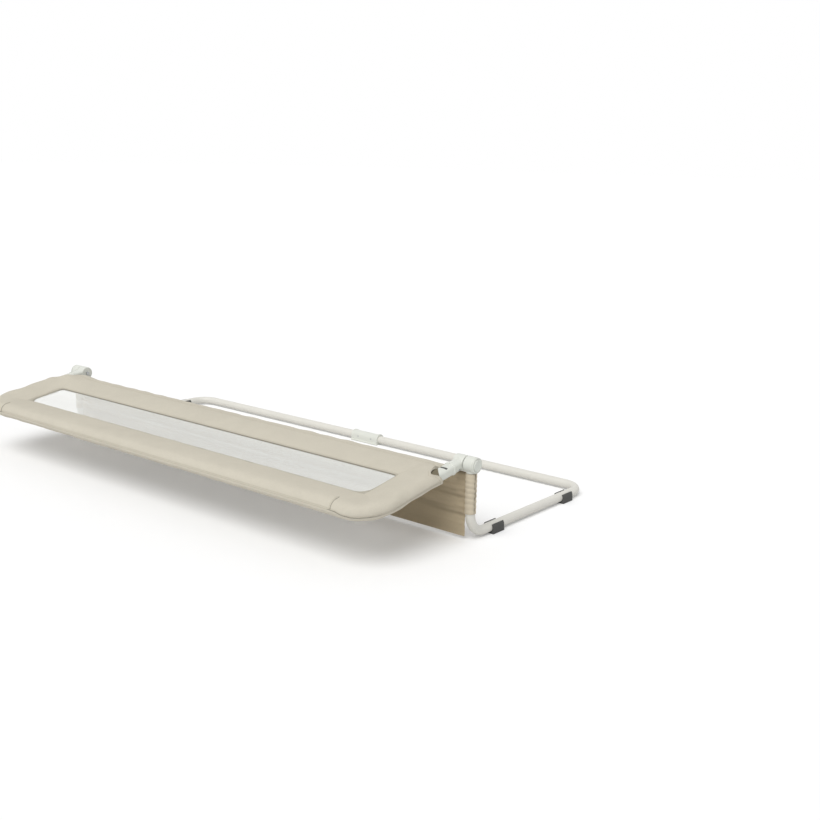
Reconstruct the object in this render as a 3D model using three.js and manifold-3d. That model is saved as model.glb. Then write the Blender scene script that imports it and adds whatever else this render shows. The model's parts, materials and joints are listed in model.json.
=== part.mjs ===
// A folding bed guard rail: a padded guard with a net window on two locking hinges,
// which stand on a steel base that lies under the mattress.
// Millimetres, +Z up, +X along the rail, +Y into the bed. The origin is the middle of the footprint.

import * as THREE from 'three';
import { mergeVertices } from 'three/addons/utils/BufferGeometryUtils.js';
import Module from 'manifold-3d';

const wasm = await Module();
wasm.setup();

// Overall sizes
const RAIL_LENGTH = 1500; // over the two lock buttons
const HINGE_HEIGHT = 175; // hinge axis above the slats
const GUARD_REACH = 309; // hinge axis to the axis of the top tube
const BASE_REACH = 480; // hinge axis to the axis of the rear crossbar
const REST_TILT = THREE.MathUtils.degToRad(9.2); // how far the folded guard stops below level
const UPRIGHT = THREE.MathUtils.degToRad(90);

// Clearances
const FIT = 0.3; // between pieces that touch
const RUN = 0.3; // round pieces that turn or slide
const OVERRUN = 2; // how far a cutter passes the face that it cuts

// Base tube
const BASE_TUBE_RADIUS = 11;
const BASE_TUBE_WALL = 1.5;
const BASE_BEND_RADIUS = 50;
const TUBE_LIFT = 3; // underside of the tube above the slats
const PIN_RADIUS = 2;

// Rear coupler
const COUPLER_LENGTH = 100;
const COUPLER_WALL = 3.2;
const COUPLER_STOP = 6;
const COUPLER_FOOT_WIDTH = 36;
const COUPLER_RIM_LENGTH = 7;
const COUPLER_RIM_RISE = 1.6;

// Foot pads
const PAD_LENGTH = 42;
const PAD_WIDTH = 30;
const PAD_WALL = 3;
const PAD_EDGE_HEIGHT = 7;
const PAD_MOUTH = THREE.MathUtils.degToRad(50); // half the open angle of the clip

// Hinge, common to both hubs
const HUB_RADIUS = 18;
const HUB_WALL = 3;
const HUB_EDGE = 3; // rounding of a hub's rim
const HUB_GAP = 1.2; // between the two hubs
const BOLT_RADIUS = 2.5;
const BOLT_HEAD_RADIUS = 5;
const BOLT_HEAD_HEIGHT = 3.5;
const NUT_RADIUS = 4.6; // over the corners
const NUT_HEIGHT = 4;

// Fixed hub on top of the upright
const FIXED_HUB_LENGTH = 25;
const FACE_WALL = 6;
const NECK_RADIUS = 12.2;
const NECK_DROP = 0.5; // below the hub's rim
const SPIGOT_LENGTH = 40;
const SPIGOT_WALL = 2.5;
const PIN_DEPTH = 20; // below the top of the upright

// Moving hub and arm
const MOVING_HUB_LENGTH = 27.8;
const MOVING_WALL = 4;
const ARM_WIDTH = 26;
const ARM_THICKNESS = 24;
const ARM_CORNER = 8;
const ARM_LENGTH = 95;
const ARM_RIM_OUT = 39; // hinge axis to the raised rim
const ARM_RIM_LENGTH = 3.5;
const ARM_RIM_RISE = 1.1;
const SOCKET_OUT = 50; // hinge axis to the bottom of the tube's socket
const SLOT_OUT = 64; // hinge axis to the middle of the slot on top
const SLOT_WIDTH = 19;
const SLOT_LENGTH = 4.5;
const SLOT_DEPTH = 5;
const CORE_OUT = 21; // hinge axis to the hollow between hub and socket
const CORE_WALL = 2.6;
const ARM_SCREW_OUT = 25.5;
const ARM_SCREW_DROP = 6.5;
const ARM_SCREW_RADIUS = 1.5;
const ARM_SCREW_LENGTH = 18;
const ARM_SCREW_HEAD_RADIUS = 2.9;
const ARM_SCREW_HEAD_HEIGHT = 2;
const ARM_SCREW_BOSS_RADIUS = 4.2;

// Lock ring
const RING_RADIUS = 13.3;
const RING_THICKNESS = 4;
const SPLINE_RADIUS = 15.1;
const SPLINE_COUNT = 3;
const SPLINE_ANGLE = THREE.MathUtils.degToRad(24);
const DOG_INNER = 8.8;
const DOG_OUTER = 13;
const DOG_ANGLE = THREE.MathUtils.degToRad(36);
const DOG_COUNT = 2;
const TRACK_DEPTH = 1.2; // groove in which the dogs run round
const LOCK_STROKE = 4; // how far the dogs drop in when the guard is up

// Lock button
const BUTTON_RADIUS = 13.1;
const BUTTON_WALL = 2.1;
const BUTTON_FLANGE_RADIUS = 14.6;
const BUTTON_FLANGE = 3;
const BUTTON_DEPTH = 16; // face to the cup's open edge
const BUTTON_ROOF = 2.4;
const BUTTON_PROUD = 2;
const BUTTON_EDGE = 1.4;
const PRONG_INNER = 9.1;
const PRONG_OUTER = 12.7;
const PRONG_ANGLE = THREE.MathUtils.degToRad(32);
const BEZEL_RADIUS = 17.6;
const BEZEL_FLANGE = 2.7;
const BEZEL_SPIGOT = 5;
const BEZEL_EDGE = 1.4;

// Springs
const SPRING_RADIUS = 6.6; // to the middle of the wire
const SPRING_WIRE_RADIUS = 0.5;
const SPRING_CURLS = 4;
const CURL_STEPS = 8;
const WIRE_SIDES = 5;

// Guard tube
const GUARD_TUBE_RADIUS = 10;
const GUARD_TUBE_WALL = 1.1;
const GUARD_BEND_RADIUS = 65;
const CORNER_RUN = 79.9; // end of the bend to the joint with the top tube
const SWAGE_LENGTH = 45;
const SWAGE_ROOT = 4;

// Padded cover
const PAD_RADIUS = 19; // outside of the padding on the tube
const TAPER_END = 5; // where the padding's taper ends, short of the bend's centre
const COVER_NEAR = 40; // hinge axis to the cover's near edge
const COVER_THICKNESS = 9;
const COVER_ROUND = 3; // rounding of the flat panels' edges, in height
const COVER_ROUND_WIDTH = 5;
const COVER_END_INSET = 22; // near edge's end, inboard of the leg's axis
const COVER_NOTCH_CORNER = 12;
const MOUTH_OUT = 84; // hinge axis to the mouths over the arms
const MOUTH_CLEARANCE = 0.5;
const NEAR_BAND = 86; // cover's near edge to the window
const FAR_BAND = 75; // window to the axis of the top tube
const END_BAND = 76.9; // window to the axis of a leg
const WINDOW_FAR_CORNER = 30;
const WINDOW_NEAR_CORNER = 12;

// Net
const NET_THICKNESS = 1;
const NET_TUCK = 7; // how far the net's edge is held in the cover
const NET_COLUMNS = 24;
const NET_ROWS = 5;
const STRAND_WIDTH = 3.4;

// Loose fabric
const SLEEVE_THICKNESS = 1.2;
const SLEEVE_RIPPLE = 0.45;
const SLEEVE_RIPPLES = 6;
const SLEEVE_RINGS = 16;
const SKIRT_THICKNESS = 2.2;
const SKIRT_FOLD = 3;
const SKIRT_FOLDS = 3.5;
const SKIRT_LIFT = 8; // hem above the slats
const FLAP_THICKNESS = 1.6;
const FLAP_RIPPLE = 1.4;
const FLAP_RIPPLES = 6;
const FLAP_SAG = 20; // how far its middle hangs below its upper edge

// Fineness
const TUBE_SIDES = 12;
const PADDING_STEPS = 10;
const HUB_SIDES = 24;
const PIN_SIDES = 8;
const BEND_STEPS = 5;
const GUARD_BEND_STEPS = 6;
const CORNER_STEPS = 2;
const SECTOR_STEP = THREE.MathUtils.degToRad(20);

// Places that follow from the sizes
const SWING = UPRIGHT + REST_TILT;
const TUBE_HEIGHT = TUBE_LIFT + BASE_TUBE_RADIUS;
const BUTTON_FACE_X = RAIL_LENGTH / 2;
const BEZEL_END_X = BUTTON_FACE_X - BUTTON_PROUD;
const BARREL_END_X = BEZEL_END_X - BEZEL_FLANGE - FIT;
const FACE_X = BARREL_END_X - FIXED_HUB_LENGTH;
const MOVING_END_X = FACE_X - HUB_GAP;
const MOVING_START_X = MOVING_END_X - MOVING_HUB_LENGTH;
const UPRIGHT_X = FACE_X + FIXED_HUB_LENGTH / 2;
const LEG_X = (MOVING_START_X + MOVING_END_X) / 2;
const BEZEL_INNER_X = BARREL_END_X - BEZEL_SPIGOT;
const TOP_TUBE_HALF = LEG_X - GUARD_BEND_RADIUS - CORNER_RUN;
const WINDOW_HALF = LEG_X - END_BAND;
const WINDOW_NEAR = COVER_NEAR + NEAR_BAND;
const WINDOW_FAR = GUARD_REACH - FAR_BAND;
const TUBE_TOP = -HUB_RADIUS - NECK_DROP - FIT;
const RING_FACE_X = FACE_X + TRACK_DEPTH - FIT - TRACK_DEPTH - LOCK_STROKE;
const RING_BACK_X = RING_FACE_X - RING_THICKNESS;
const RAISED_ANGLE = Math.PI - SWING / 2;
const FOLDED_ANGLE = Math.PI + SWING / 2;

// Finishes
const WHITE_PLASTIC = { color: 0xe6e5dd, roughness: 0.42, metalness: 0 };
const BUTTON_PLASTIC = { color: 0xe2e3de, roughness: 0.38, metalness: 0 };
const LOCK_PLASTIC = { color: 0x8e9092, roughness: 0.5, metalness: 0 };
const PAINTED_STEEL = { color: 0xdedbd2, roughness: 0.4, metalness: 0.3 };
const ZINC = { color: 0xb4b6b8, roughness: 0.35, metalness: 1 };
const SPRING_STEEL = { color: 0x9a9c9e, roughness: 0.3, metalness: 1 };
const BEIGE_FABRIC = { color: 0xcfc7b8, roughness: 0.95, metalness: 0 };
const SHADE_FABRIC = { color: 0xb9aa92, roughness: 0.95, metalness: 0 };
const NET_FABRIC = { color: 0xdcdedb, roughness: 0.9, metalness: 0 };
const PAD_RUBBER = { color: 0x4c4c4a, roughness: 0.85, metalness: 0 };

// A geometry with shared corners, no flat triangles and its faces outward.
function closed(geometry) {
  const bare = new THREE.BufferGeometry();
  bare.setAttribute('position', geometry.getAttribute('position').clone());
  if (geometry.index) bare.setIndex(geometry.index.clone());
  const merged = mergeVertices(bare);
  const corners = [0, 1, 2].map(() => new THREE.Vector3());
  const kept = [];
  let volume = 0;
  for (let i = 0; i < merged.index.count; i += 3) {
    const face = [0, 1, 2].map((k) => merged.index.getX(i + k));
    if (new Set(face).size < 3) continue;
    face.forEach((index, k) => corners[k].fromBufferAttribute(merged.attributes.position, index));
    volume += corners[0].dot(corners[1].clone().cross(corners[2]));
    kept.push(face);
  }
  merged.setIndex(kept.flatMap(([a, b, c]) => (volume < 0 ? [a, c, b] : [a, b, c])));
  return merged;
}

function solid(geometry) {
  const ready = closed(geometry);
  return new wasm.Manifold(new wasm.Mesh({
    numProp: 3,
    vertProperties: new Float32Array(ready.attributes.position.array),
    triVerts: new Uint32Array(ready.index.array),
  }));
}

function joined(geometries) {
  return geometries.map(solid).reduce((sum, next) => sum.add(next));
}

function geometryOf(body) {
  const mesh = body.getMesh();
  const geometry = new THREE.BufferGeometry();
  geometry.setAttribute('position', new THREE.BufferAttribute(mesh.vertProperties, 3));
  geometry.setIndex(new THREE.BufferAttribute(mesh.triVerts, 1));
  return geometry;
}

// The added geometries joined, less the cutters.
function made(added, cutters = []) {
  const body = joined(added);
  return geometryOf(cutters.length ? body.subtract(joined(cutters)) : body);
}

// Turns of a shape's own frame: its outline lies across the named direction, which it is extruded along.
const ALONG_X = new THREE.Matrix4().makeBasis(
  new THREE.Vector3(0, 1, 0), new THREE.Vector3(0, 0, 1), new THREE.Vector3(1, 0, 0));
const ALONG_OUT = new THREE.Matrix4().makeBasis(
  new THREE.Vector3(1, 0, 0), new THREE.Vector3(0, 0, 1), new THREE.Vector3(0, -1, 0));
// Turns of a lathe's axis, which stands along +Y, on to the named direction.
const AXIS_X = new THREE.Matrix4().makeRotationZ(-Math.PI / 2);
const AXIS_Z = new THREE.Matrix4().makeRotationX(Math.PI / 2);
const AXIS_OUT = new THREE.Matrix4().makeRotationX(Math.PI);

// A revolved solid. Its profile is a list of [radius, place on the axis].
function turned(profile, sides, axis, x = 0, y = 0, z = 0) {
  const points = profile.map(([radius, along]) => new THREE.Vector2(radius, along));
  return new THREE.LatheGeometry(points, sides).applyMatrix4(axis).translate(x, y, z);
}

function rod(radius, start, end, sides, axis, x = 0, y = 0, z = 0) {
  return turned([[0, start], [radius, start], [radius, end], [0, end]], sides, axis, x, y, z);
}

function ring(inner, outer, start, end, sides, axis, x = 0, y = 0, z = 0) {
  const profile = [[inner, start], [outer, start], [outer, end], [inner, end], [inner, start]];
  return turned(profile, sides, axis, x, y, z);
}

// A quarter round between two faces of a profile, about its centre, from one angle to the next.
function rounded(radius, along, edge, from, to) {
  return Array.from({ length: CORNER_STEPS + 1 }, (_, k) => {
    const angle = from + (to - from) * k / CORNER_STEPS;
    return [radius + edge * Math.cos(angle), along + edge * Math.sin(angle)];
  });
}

// A barrel along X whose rims are rounded.
function barrel(radius, start, end, edge) {
  return turned([
    [0, start],
    ...rounded(radius - edge, start + edge, edge, -Math.PI / 2, 0),
    ...rounded(radius - edge, end - edge, edge, 0, Math.PI / 2),
    [0, end],
  ], HUB_SIDES, AXIS_X);
}

function extruded(shape, length, basis, x = 0, y = 0, z = 0) {
  const settings = { depth: length, bevelEnabled: false, curveSegments: CORNER_STEPS };
  return new THREE.ExtrudeGeometry(shape, settings).applyMatrix4(basis).translate(x, y, z);
}

function box(width, depth, height, x, y, z) {
  return new THREE.BoxGeometry(width, depth, height).translate(x, y, z);
}

function roundedRectangle(width, height, corner) {
  const x = width / 2 - corner;
  const y = height / 2 - corner;
  const shape = new THREE.Shape();
  shape.absarc(x, y, corner, 0, Math.PI / 2);
  shape.absarc(-x, y, corner, Math.PI / 2, Math.PI);
  shape.absarc(-x, -y, corner, Math.PI, Math.PI * 3 / 2);
  shape.absarc(x, -y, corner, Math.PI * 3 / 2, Math.PI * 2);
  return shape;
}

// A piece of a ring about the X axis, between two radii and two places, centred on an angle from +Y.
function sector(inner, outer, middle, angle, start, end) {
  const steps = Math.ceil(angle / SECTOR_STEP);
  const outline = (radius, sign) => Array.from({ length: steps + 1 }, (_, k) => {
    const at = middle + sign * angle * (k / steps - 1 / 2);
    return new THREE.Vector2(radius * Math.cos(at), radius * Math.sin(at));
  });
  const shape = new THREE.Shape([...outline(outer, 1), ...outline(inner, -1)]);
  return extruded(shape, end - start, ALONG_X, start);
}

// The same sector, widened by the running clearance on every side.
function sectorPocket(inner, outer, middle, angle, start, end) {
  const spare = 2 * RUN / inner;
  return sector(inner - RUN, outer + RUN, middle, angle + spare, start, end);
}

// A line through stations, each with the direction in which the tube passes it.
class StationLine extends THREE.Curve {
  constructor(stations) {
    super();
    this.stations = stations;
  }

  station(share) {
    return this.stations[Math.round(share * (this.stations.length - 1))];
  }

  getPoint(share) {
    return this.station(share).point.clone();
  }

  getPointAt(share) {
    return this.getPoint(share);
  }

  getTangentAt(share) {
    return this.station(share).direction.clone();
  }
}

// Straight runs between the corners, joined by bends of one radius.
function bentLine(corners, bendRadius, bendSteps) {
  const headings = corners.slice(1).map((corner, k) => corner.clone().sub(corners[k]).normalize());
  const stations = [{ point: corners[0], direction: headings[0] }];
  for (let k = 1; k < headings.length; k += 1) {
    const [before, after] = [headings[k - 1], headings[k]];
    const turn = before.angleTo(after);
    const side = after.clone().addScaledVector(before, -Math.cos(turn)).normalize();
    const start = corners[k].clone().addScaledVector(before, -bendRadius * Math.tan(turn / 2));
    for (let step = 0; step <= bendSteps; step += 1) {
      const angle = turn * step / bendSteps;
      stations.push({
        point: start.clone()
          .addScaledVector(before, bendRadius * Math.sin(angle))
          .addScaledVector(side, bendRadius * (1 - Math.cos(angle))),
        direction: before.clone().multiplyScalar(Math.cos(angle)).addScaledVector(side, Math.sin(angle)),
      });
    }
  }
  stations.push({ point: corners[corners.length - 1], direction: headings[headings.length - 1] });
  return new StationLine(stations);
}

function circle(radius, sides) {
  const points = Array.from({ length: sides }, (_, k) => {
    const angle = 2 * Math.PI * k / sides;
    return new THREE.Vector2(radius * Math.cos(angle), radius * Math.sin(angle));
  });
  return points;
}

function sweptShape(section, line) {
  return new THREE.ExtrudeGeometry(section, { steps: line.stations.length - 1, extrudePath: line });
}

// A tube or a rod along a line of stations.
function swept(outer, inner, sides, line) {
  const section = new THREE.Shape(circle(outer, sides));
  if (inner > 0) section.holes.push(new THREE.Path(circle(inner, sides)));
  return sweptShape(section, line);
}

// A coil spring along X between two places. The wire's least gap to the next curl is measured and printed.
function coilSpring(name, start, end) {
  const steps = SPRING_CURLS * CURL_STEPS;
  const from = start + SPRING_WIRE_RADIUS + FIT;
  const length = end - start - 2 * (SPRING_WIRE_RADIUS + FIT);
  const stations = Array.from({ length: steps + 1 }, (_, k) => {
    const angle = 2 * Math.PI * k / CURL_STEPS;
    const radial = new THREE.Vector3(0, Math.cos(angle), Math.sin(angle)).multiplyScalar(SPRING_RADIUS);
    const climb = length / (2 * Math.PI * SPRING_CURLS);
    return {
      point: radial.clone().setX(from + length * k / steps),
      direction: new THREE.Vector3(climb, -radial.z, radial.y).normalize(),
    };
  });
  const gaps = stations.slice(CURL_STEPS).map(
    (station, k) => station.point.distanceTo(stations[k].point) - 2 * SPRING_WIRE_RADIUS);
  console.log(`${name}: least gap between curls ${Math.min(...gaps).toFixed(2)} mm`);
  return swept(SPRING_WIRE_RADIUS, 0, WIRE_SIDES, new StationLine(stations));
}

// A closed sheet of one thickness about the surface that place(u, v) gives for shares u and v.
function clothSheet(columns, rows, thickness, place) {
  const nudge = 1 / (columns * rows * 10);
  const middle = (u, v) => place(THREE.MathUtils.clamp(u, 0, 1), THREE.MathUtils.clamp(v, 0, 1));
  const positions = [];
  for (const face of [1, -1]) {
    for (let row = 0; row <= rows; row += 1) {
      for (let column = 0; column <= columns; column += 1) {
        const [u, v] = [column / columns, row / rows];
        const along = middle(u + nudge, v).sub(middle(u - nudge, v));
        const down = middle(u, v + nudge).sub(middle(u, v - nudge));
        const normal = along.cross(down).normalize();
        positions.push(...middle(u, v).addScaledVector(normal, face * thickness / 2));
      }
    }
  }
  const faceSize = (columns + 1) * (rows + 1);
  const at = (face, column, row) => face * faceSize + row * (columns + 1) + column;
  const index = [];
  const quad = (a, b, c, d) => index.push(a, b, c, a, c, d);
  for (let row = 0; row < rows; row += 1) {
    for (let column = 0; column < columns; column += 1) {
      quad(at(0, column, row), at(0, column + 1, row), at(0, column + 1, row + 1), at(0, column, row + 1));
      quad(at(1, column, row), at(1, column, row + 1), at(1, column + 1, row + 1), at(1, column + 1, row));
    }
    quad(at(0, 0, row), at(0, 0, row + 1), at(1, 0, row + 1), at(1, 0, row));
    quad(at(1, columns, row), at(1, columns, row + 1), at(0, columns, row + 1), at(0, columns, row));
  }
  for (let column = 0; column < columns; column += 1) {
    quad(at(1, column, 0), at(1, column + 1, 0), at(0, column + 1, 0), at(0, column, 0));
    quad(at(0, column, rows), at(0, column + 1, rows), at(1, column + 1, rows), at(1, column, rows));
  }
  const geometry = new THREE.BufferGeometry();
  geometry.setAttribute('position', new THREE.Float32BufferAttribute(positions, 3));
  geometry.setIndex(index);
  return closed(geometry);
}

function addPiece(group, name, geometry, finish) {
  const mesh = new THREE.Mesh(geometry, new THREE.MeshStandardMaterial(finish));
  mesh.name = name;
  group.add(mesh);
}

// The base tube of the right side: upright, arm under the mattress and half of the rear crossbar.
// Its frame has the hinge axis's height at zero.
function baseTube() {
  const floor = TUBE_HEIGHT - HINGE_HEIGHT;
  const line = bentLine([
    new THREE.Vector3(UPRIGHT_X, 0, TUBE_TOP),
    new THREE.Vector3(UPRIGHT_X, 0, floor),
    new THREE.Vector3(UPRIGHT_X, BASE_REACH, floor),
    new THREE.Vector3(COUPLER_STOP / 2 + FIT, BASE_REACH, floor),
  ], BASE_BEND_RADIUS, BEND_STEPS);
  const tube = swept(BASE_TUBE_RADIUS, BASE_TUBE_RADIUS - BASE_TUBE_WALL, TUBE_SIDES, line);
  return made([tube], [bracketPinHole(), couplerPinHole()]);
}

function bracketPinHole() {
  const half = NECK_RADIUS + OVERRUN;
  return rod(PIN_RADIUS + FIT, -half, half, PIN_SIDES, AXIS_OUT, UPRIGHT_X, 0, TUBE_TOP - PIN_DEPTH);
}

function couplerPinHole() {
  const reach = BASE_TUBE_RADIUS + COUPLER_WALL + COUPLER_RIM_RISE + OVERRUN;
  return rod(PIN_RADIUS + FIT, -reach, reach, PIN_SIDES, AXIS_OUT,
    COUPLER_LENGTH / 4, BASE_REACH, TUBE_HEIGHT - HINGE_HEIGHT);
}

// A cross pin with small chamfers, along Y.
function crossPin(half, x, y, z) {
  const chamfer = PIN_RADIUS / 4;
  const profile = [
    [0, -half], [PIN_RADIUS - chamfer, -half], [PIN_RADIUS, chamfer - half],
    [PIN_RADIUS, half - chamfer], [PIN_RADIUS - chamfer, half], [0, half],
  ];
  return turned(profile, PIN_SIDES, AXIS_OUT, x, y, z);
}

// The outline of the coupler: half round above, a flat foot below, about the tube's axis.
function couplerOutline(rise) {
  const radius = BASE_TUBE_RADIUS + FIT + COUPLER_WALL + rise;
  const foot = COUPLER_FOOT_WIDTH / 2;
  const shape = new THREE.Shape();
  shape.moveTo(-foot, -TUBE_HEIGHT);
  shape.lineTo(foot, -TUBE_HEIGHT);
  shape.lineTo(foot, COUPLER_WALL - TUBE_HEIGHT);
  circle(radius, TUBE_SIDES).slice(0, TUBE_SIDES / 2 + 1).forEach(({ x, y }) => shape.lineTo(x, y));
  shape.lineTo(-foot, COUPLER_WALL - TUBE_HEIGHT);
  return shape;
}

function rearCoupler() {
  const half = COUPLER_LENGTH / 2;
  const rims = [-half, half - COUPLER_RIM_LENGTH].map(
    (start) => extruded(couplerOutline(COUPLER_RIM_RISE), COUPLER_RIM_LENGTH, ALONG_X, start));
  const bores = [-1, 1].map((sign) => rod(BASE_TUBE_RADIUS + FIT,
    sign * COUPLER_STOP / 2, sign * (half + OVERRUN), TUBE_SIDES, AXIS_X));
  const pins = [-1, 1].map((sign) => rod(PIN_RADIUS + FIT,
    -COUPLER_LENGTH, COUPLER_LENGTH, PIN_SIDES, AXIS_OUT, sign * COUPLER_LENGTH / 4));
  return made([extruded(couplerOutline(0), COUPLER_LENGTH, ALONG_X, -half), ...rims], [...bores, ...pins]);
}

// A rubber clip under the tube, extruded along Y, with its foot on the slats.
function footPad() {
  const inner = BASE_TUBE_RADIUS + FIT;
  const outer = inner + PAD_WALL;
  const half = PAD_WIDTH / 2;
  const steps = TUBE_SIDES - CORNER_STEPS;
  const arc = (radius, from, to) => Array.from({ length: steps + 1 }, (_, k) => {
    const angle = from + (to - from) * k / steps;
    return new THREE.Vector2(radius * Math.cos(angle), radius * Math.sin(angle));
  });
  const open = Math.PI / 2 - PAD_MOUTH;
  const outline = [
    new THREE.Vector2(-half, -TUBE_HEIGHT),
    new THREE.Vector2(half, -TUBE_HEIGHT),
    new THREE.Vector2(half, PAD_EDGE_HEIGHT - TUBE_HEIGHT),
    ...arc(outer, 0, open),
    ...arc(inner, open, -Math.PI - open),
    ...arc(outer, Math.PI - open, Math.PI),
    new THREE.Vector2(-half, PAD_EDGE_HEIGHT - TUBE_HEIGHT),
  ];
  return closed(extruded(new THREE.Shape(outline), PAD_LENGTH, ALONG_OUT, 0, PAD_LENGTH / 2));
}

// The fixed hub: a barrel on a neck, with a spigot that plugs into the upright.
// The wall that faces the arm has a track for the lock ring's dogs, and a pocket through it at its raised end.
function hingeBracket() {
  const neckEnd = -HUB_RADIUS - NECK_DROP;
  const spigotRadius = BASE_TUBE_RADIUS - BASE_TUBE_WALL - FIT;
  const added = [
    barrel(HUB_RADIUS, FACE_X, BARREL_END_X, HUB_EDGE),
    rod(NECK_RADIUS, neckEnd, 0, HUB_SIDES, AXIS_Z, UPRIGHT_X),
    ring(spigotRadius - SPIGOT_WALL, spigotRadius, neckEnd - SPIGOT_LENGTH, neckEnd + NECK_DROP,
      TUBE_SIDES, AXIS_Z, UPRIGHT_X),
  ];
  const cutters = [
    rod(HUB_RADIUS - HUB_WALL, FACE_X + FACE_WALL, BARREL_END_X + OVERRUN, HUB_SIDES, AXIS_X),
    rod(BOLT_RADIUS + FIT, FACE_X - OVERRUN, FACE_X + FACE_WALL + OVERRUN, PIN_SIDES, AXIS_X),
    bracketPinHole(),
  ];
  for (let dog = 0; dog < DOG_COUNT; dog += 1) {
    const turn = 2 * Math.PI * dog / DOG_COUNT;
    const track = [DOG_INNER, DOG_OUTER, Math.PI + turn, SWING + DOG_ANGLE];
    const pocket = [DOG_INNER, DOG_OUTER, RAISED_ANGLE + turn, DOG_ANGLE];
    cutters.push(sectorPocket(...track, FACE_X - OVERRUN, FACE_X + TRACK_DEPTH));
    cutters.push(sectorPocket(...pocket, FACE_X, FACE_X + FACE_WALL + OVERRUN));
  }
  return made(added, cutters);
}

// The ring round the button, which keeps the button in.
function hubBezel() {
  const bore = BUTTON_RADIUS + RUN;
  const spigot = HUB_RADIUS - HUB_WALL - FIT;
  const start = BARREL_END_X + FIT;
  return closed(turned([
    [bore, BEZEL_INNER_X], [spigot, BEZEL_INNER_X], [spigot, start], [BEZEL_RADIUS, start],
    ...rounded(BEZEL_RADIUS - BEZEL_EDGE, BEZEL_END_X - BEZEL_EDGE, BEZEL_EDGE, 0, Math.PI / 2),
    [bore, BEZEL_END_X], [bore, BEZEL_INNER_X],
  ], HUB_SIDES, AXIS_X));
}

// The lock button: a flanged cup whose prongs reach through the bracket's pockets to the dogs.
function lockButton() {
  const open = BUTTON_FACE_X - BUTTON_DEPTH;
  const flangeEnd = BEZEL_INNER_X - RUN;
  const inner = BUTTON_RADIUS - BUTTON_WALL;
  const cup = turned([
    [0, BUTTON_FACE_X - BUTTON_ROOF], [inner, BUTTON_FACE_X - BUTTON_ROOF], [inner, open],
    [BUTTON_RADIUS, open], [BUTTON_RADIUS, flangeEnd - BUTTON_FLANGE],
    [BUTTON_FLANGE_RADIUS, flangeEnd - BUTTON_FLANGE], [BUTTON_FLANGE_RADIUS, flangeEnd],
    [BUTTON_RADIUS, flangeEnd],
    ...rounded(BUTTON_RADIUS - BUTTON_EDGE, BUTTON_FACE_X - BUTTON_EDGE, BUTTON_EDGE, 0, Math.PI / 2),
    [0, BUTTON_FACE_X],
  ], HUB_SIDES, AXIS_X);
  const tip = FACE_X + TRACK_DEPTH + LOCK_STROKE;
  const prongs = Array.from({ length: DOG_COUNT }, (_, k) => sector(
    PRONG_INNER, PRONG_OUTER, RAISED_ANGLE + 2 * Math.PI * k / DOG_COUNT, PRONG_ANGLE, tip, open + OVERRUN));
  return made([cup, ...prongs]);
}

// The pivot bolt's hexagon head sits inboard of the arm, its nut inside the fixed hub.
function pivotBolt() {
  const seat = MOVING_START_X - FIT;
  const end = FACE_X + FACE_WALL + FIT + NUT_HEIGHT + NUT_HEIGHT / 4;
  return made([
    rod(BOLT_HEAD_RADIUS, seat - BOLT_HEAD_HEIGHT, seat, 6, AXIS_X),
    rod(BOLT_RADIUS, seat - BOLT_HEAD_HEIGHT / 2, end, PIN_SIDES, AXIS_X),
  ]);
}

function pivotNut() {
  const start = FACE_X + FACE_WALL + FIT;
  return made(
    [rod(NUT_RADIUS, start, start + NUT_HEIGHT, 6, AXIS_X)],
    [rod(BOLT_RADIUS + FIT, start - OVERRUN, start + NUT_HEIGHT + OVERRUN, PIN_SIDES, AXIS_X)]);
}

// The lock ring turns with the arm on its splines. Its dogs run in the bracket's tracks.
function lockRing() {
  const added = [ring(BOLT_RADIUS + RUN, RING_RADIUS, RING_BACK_X, RING_FACE_X, HUB_SIDES, AXIS_X)];
  for (let k = 0; k < SPLINE_COUNT; k += 1) {
    added.push(sector(DOG_INNER, SPLINE_RADIUS, 2 * Math.PI * k / SPLINE_COUNT, SPLINE_ANGLE,
      RING_BACK_X, RING_FACE_X));
  }
  for (let k = 0; k < DOG_COUNT; k += 1) {
    added.push(sector(DOG_INNER, DOG_OUTER, FOLDED_ANGLE - REST_TILT + 2 * Math.PI * k / DOG_COUNT,
      DOG_ANGLE, RING_FACE_X - RING_THICKNESS / 2, FACE_X + TRACK_DEPTH - FIT));
  }
  return made(added);
}

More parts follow.
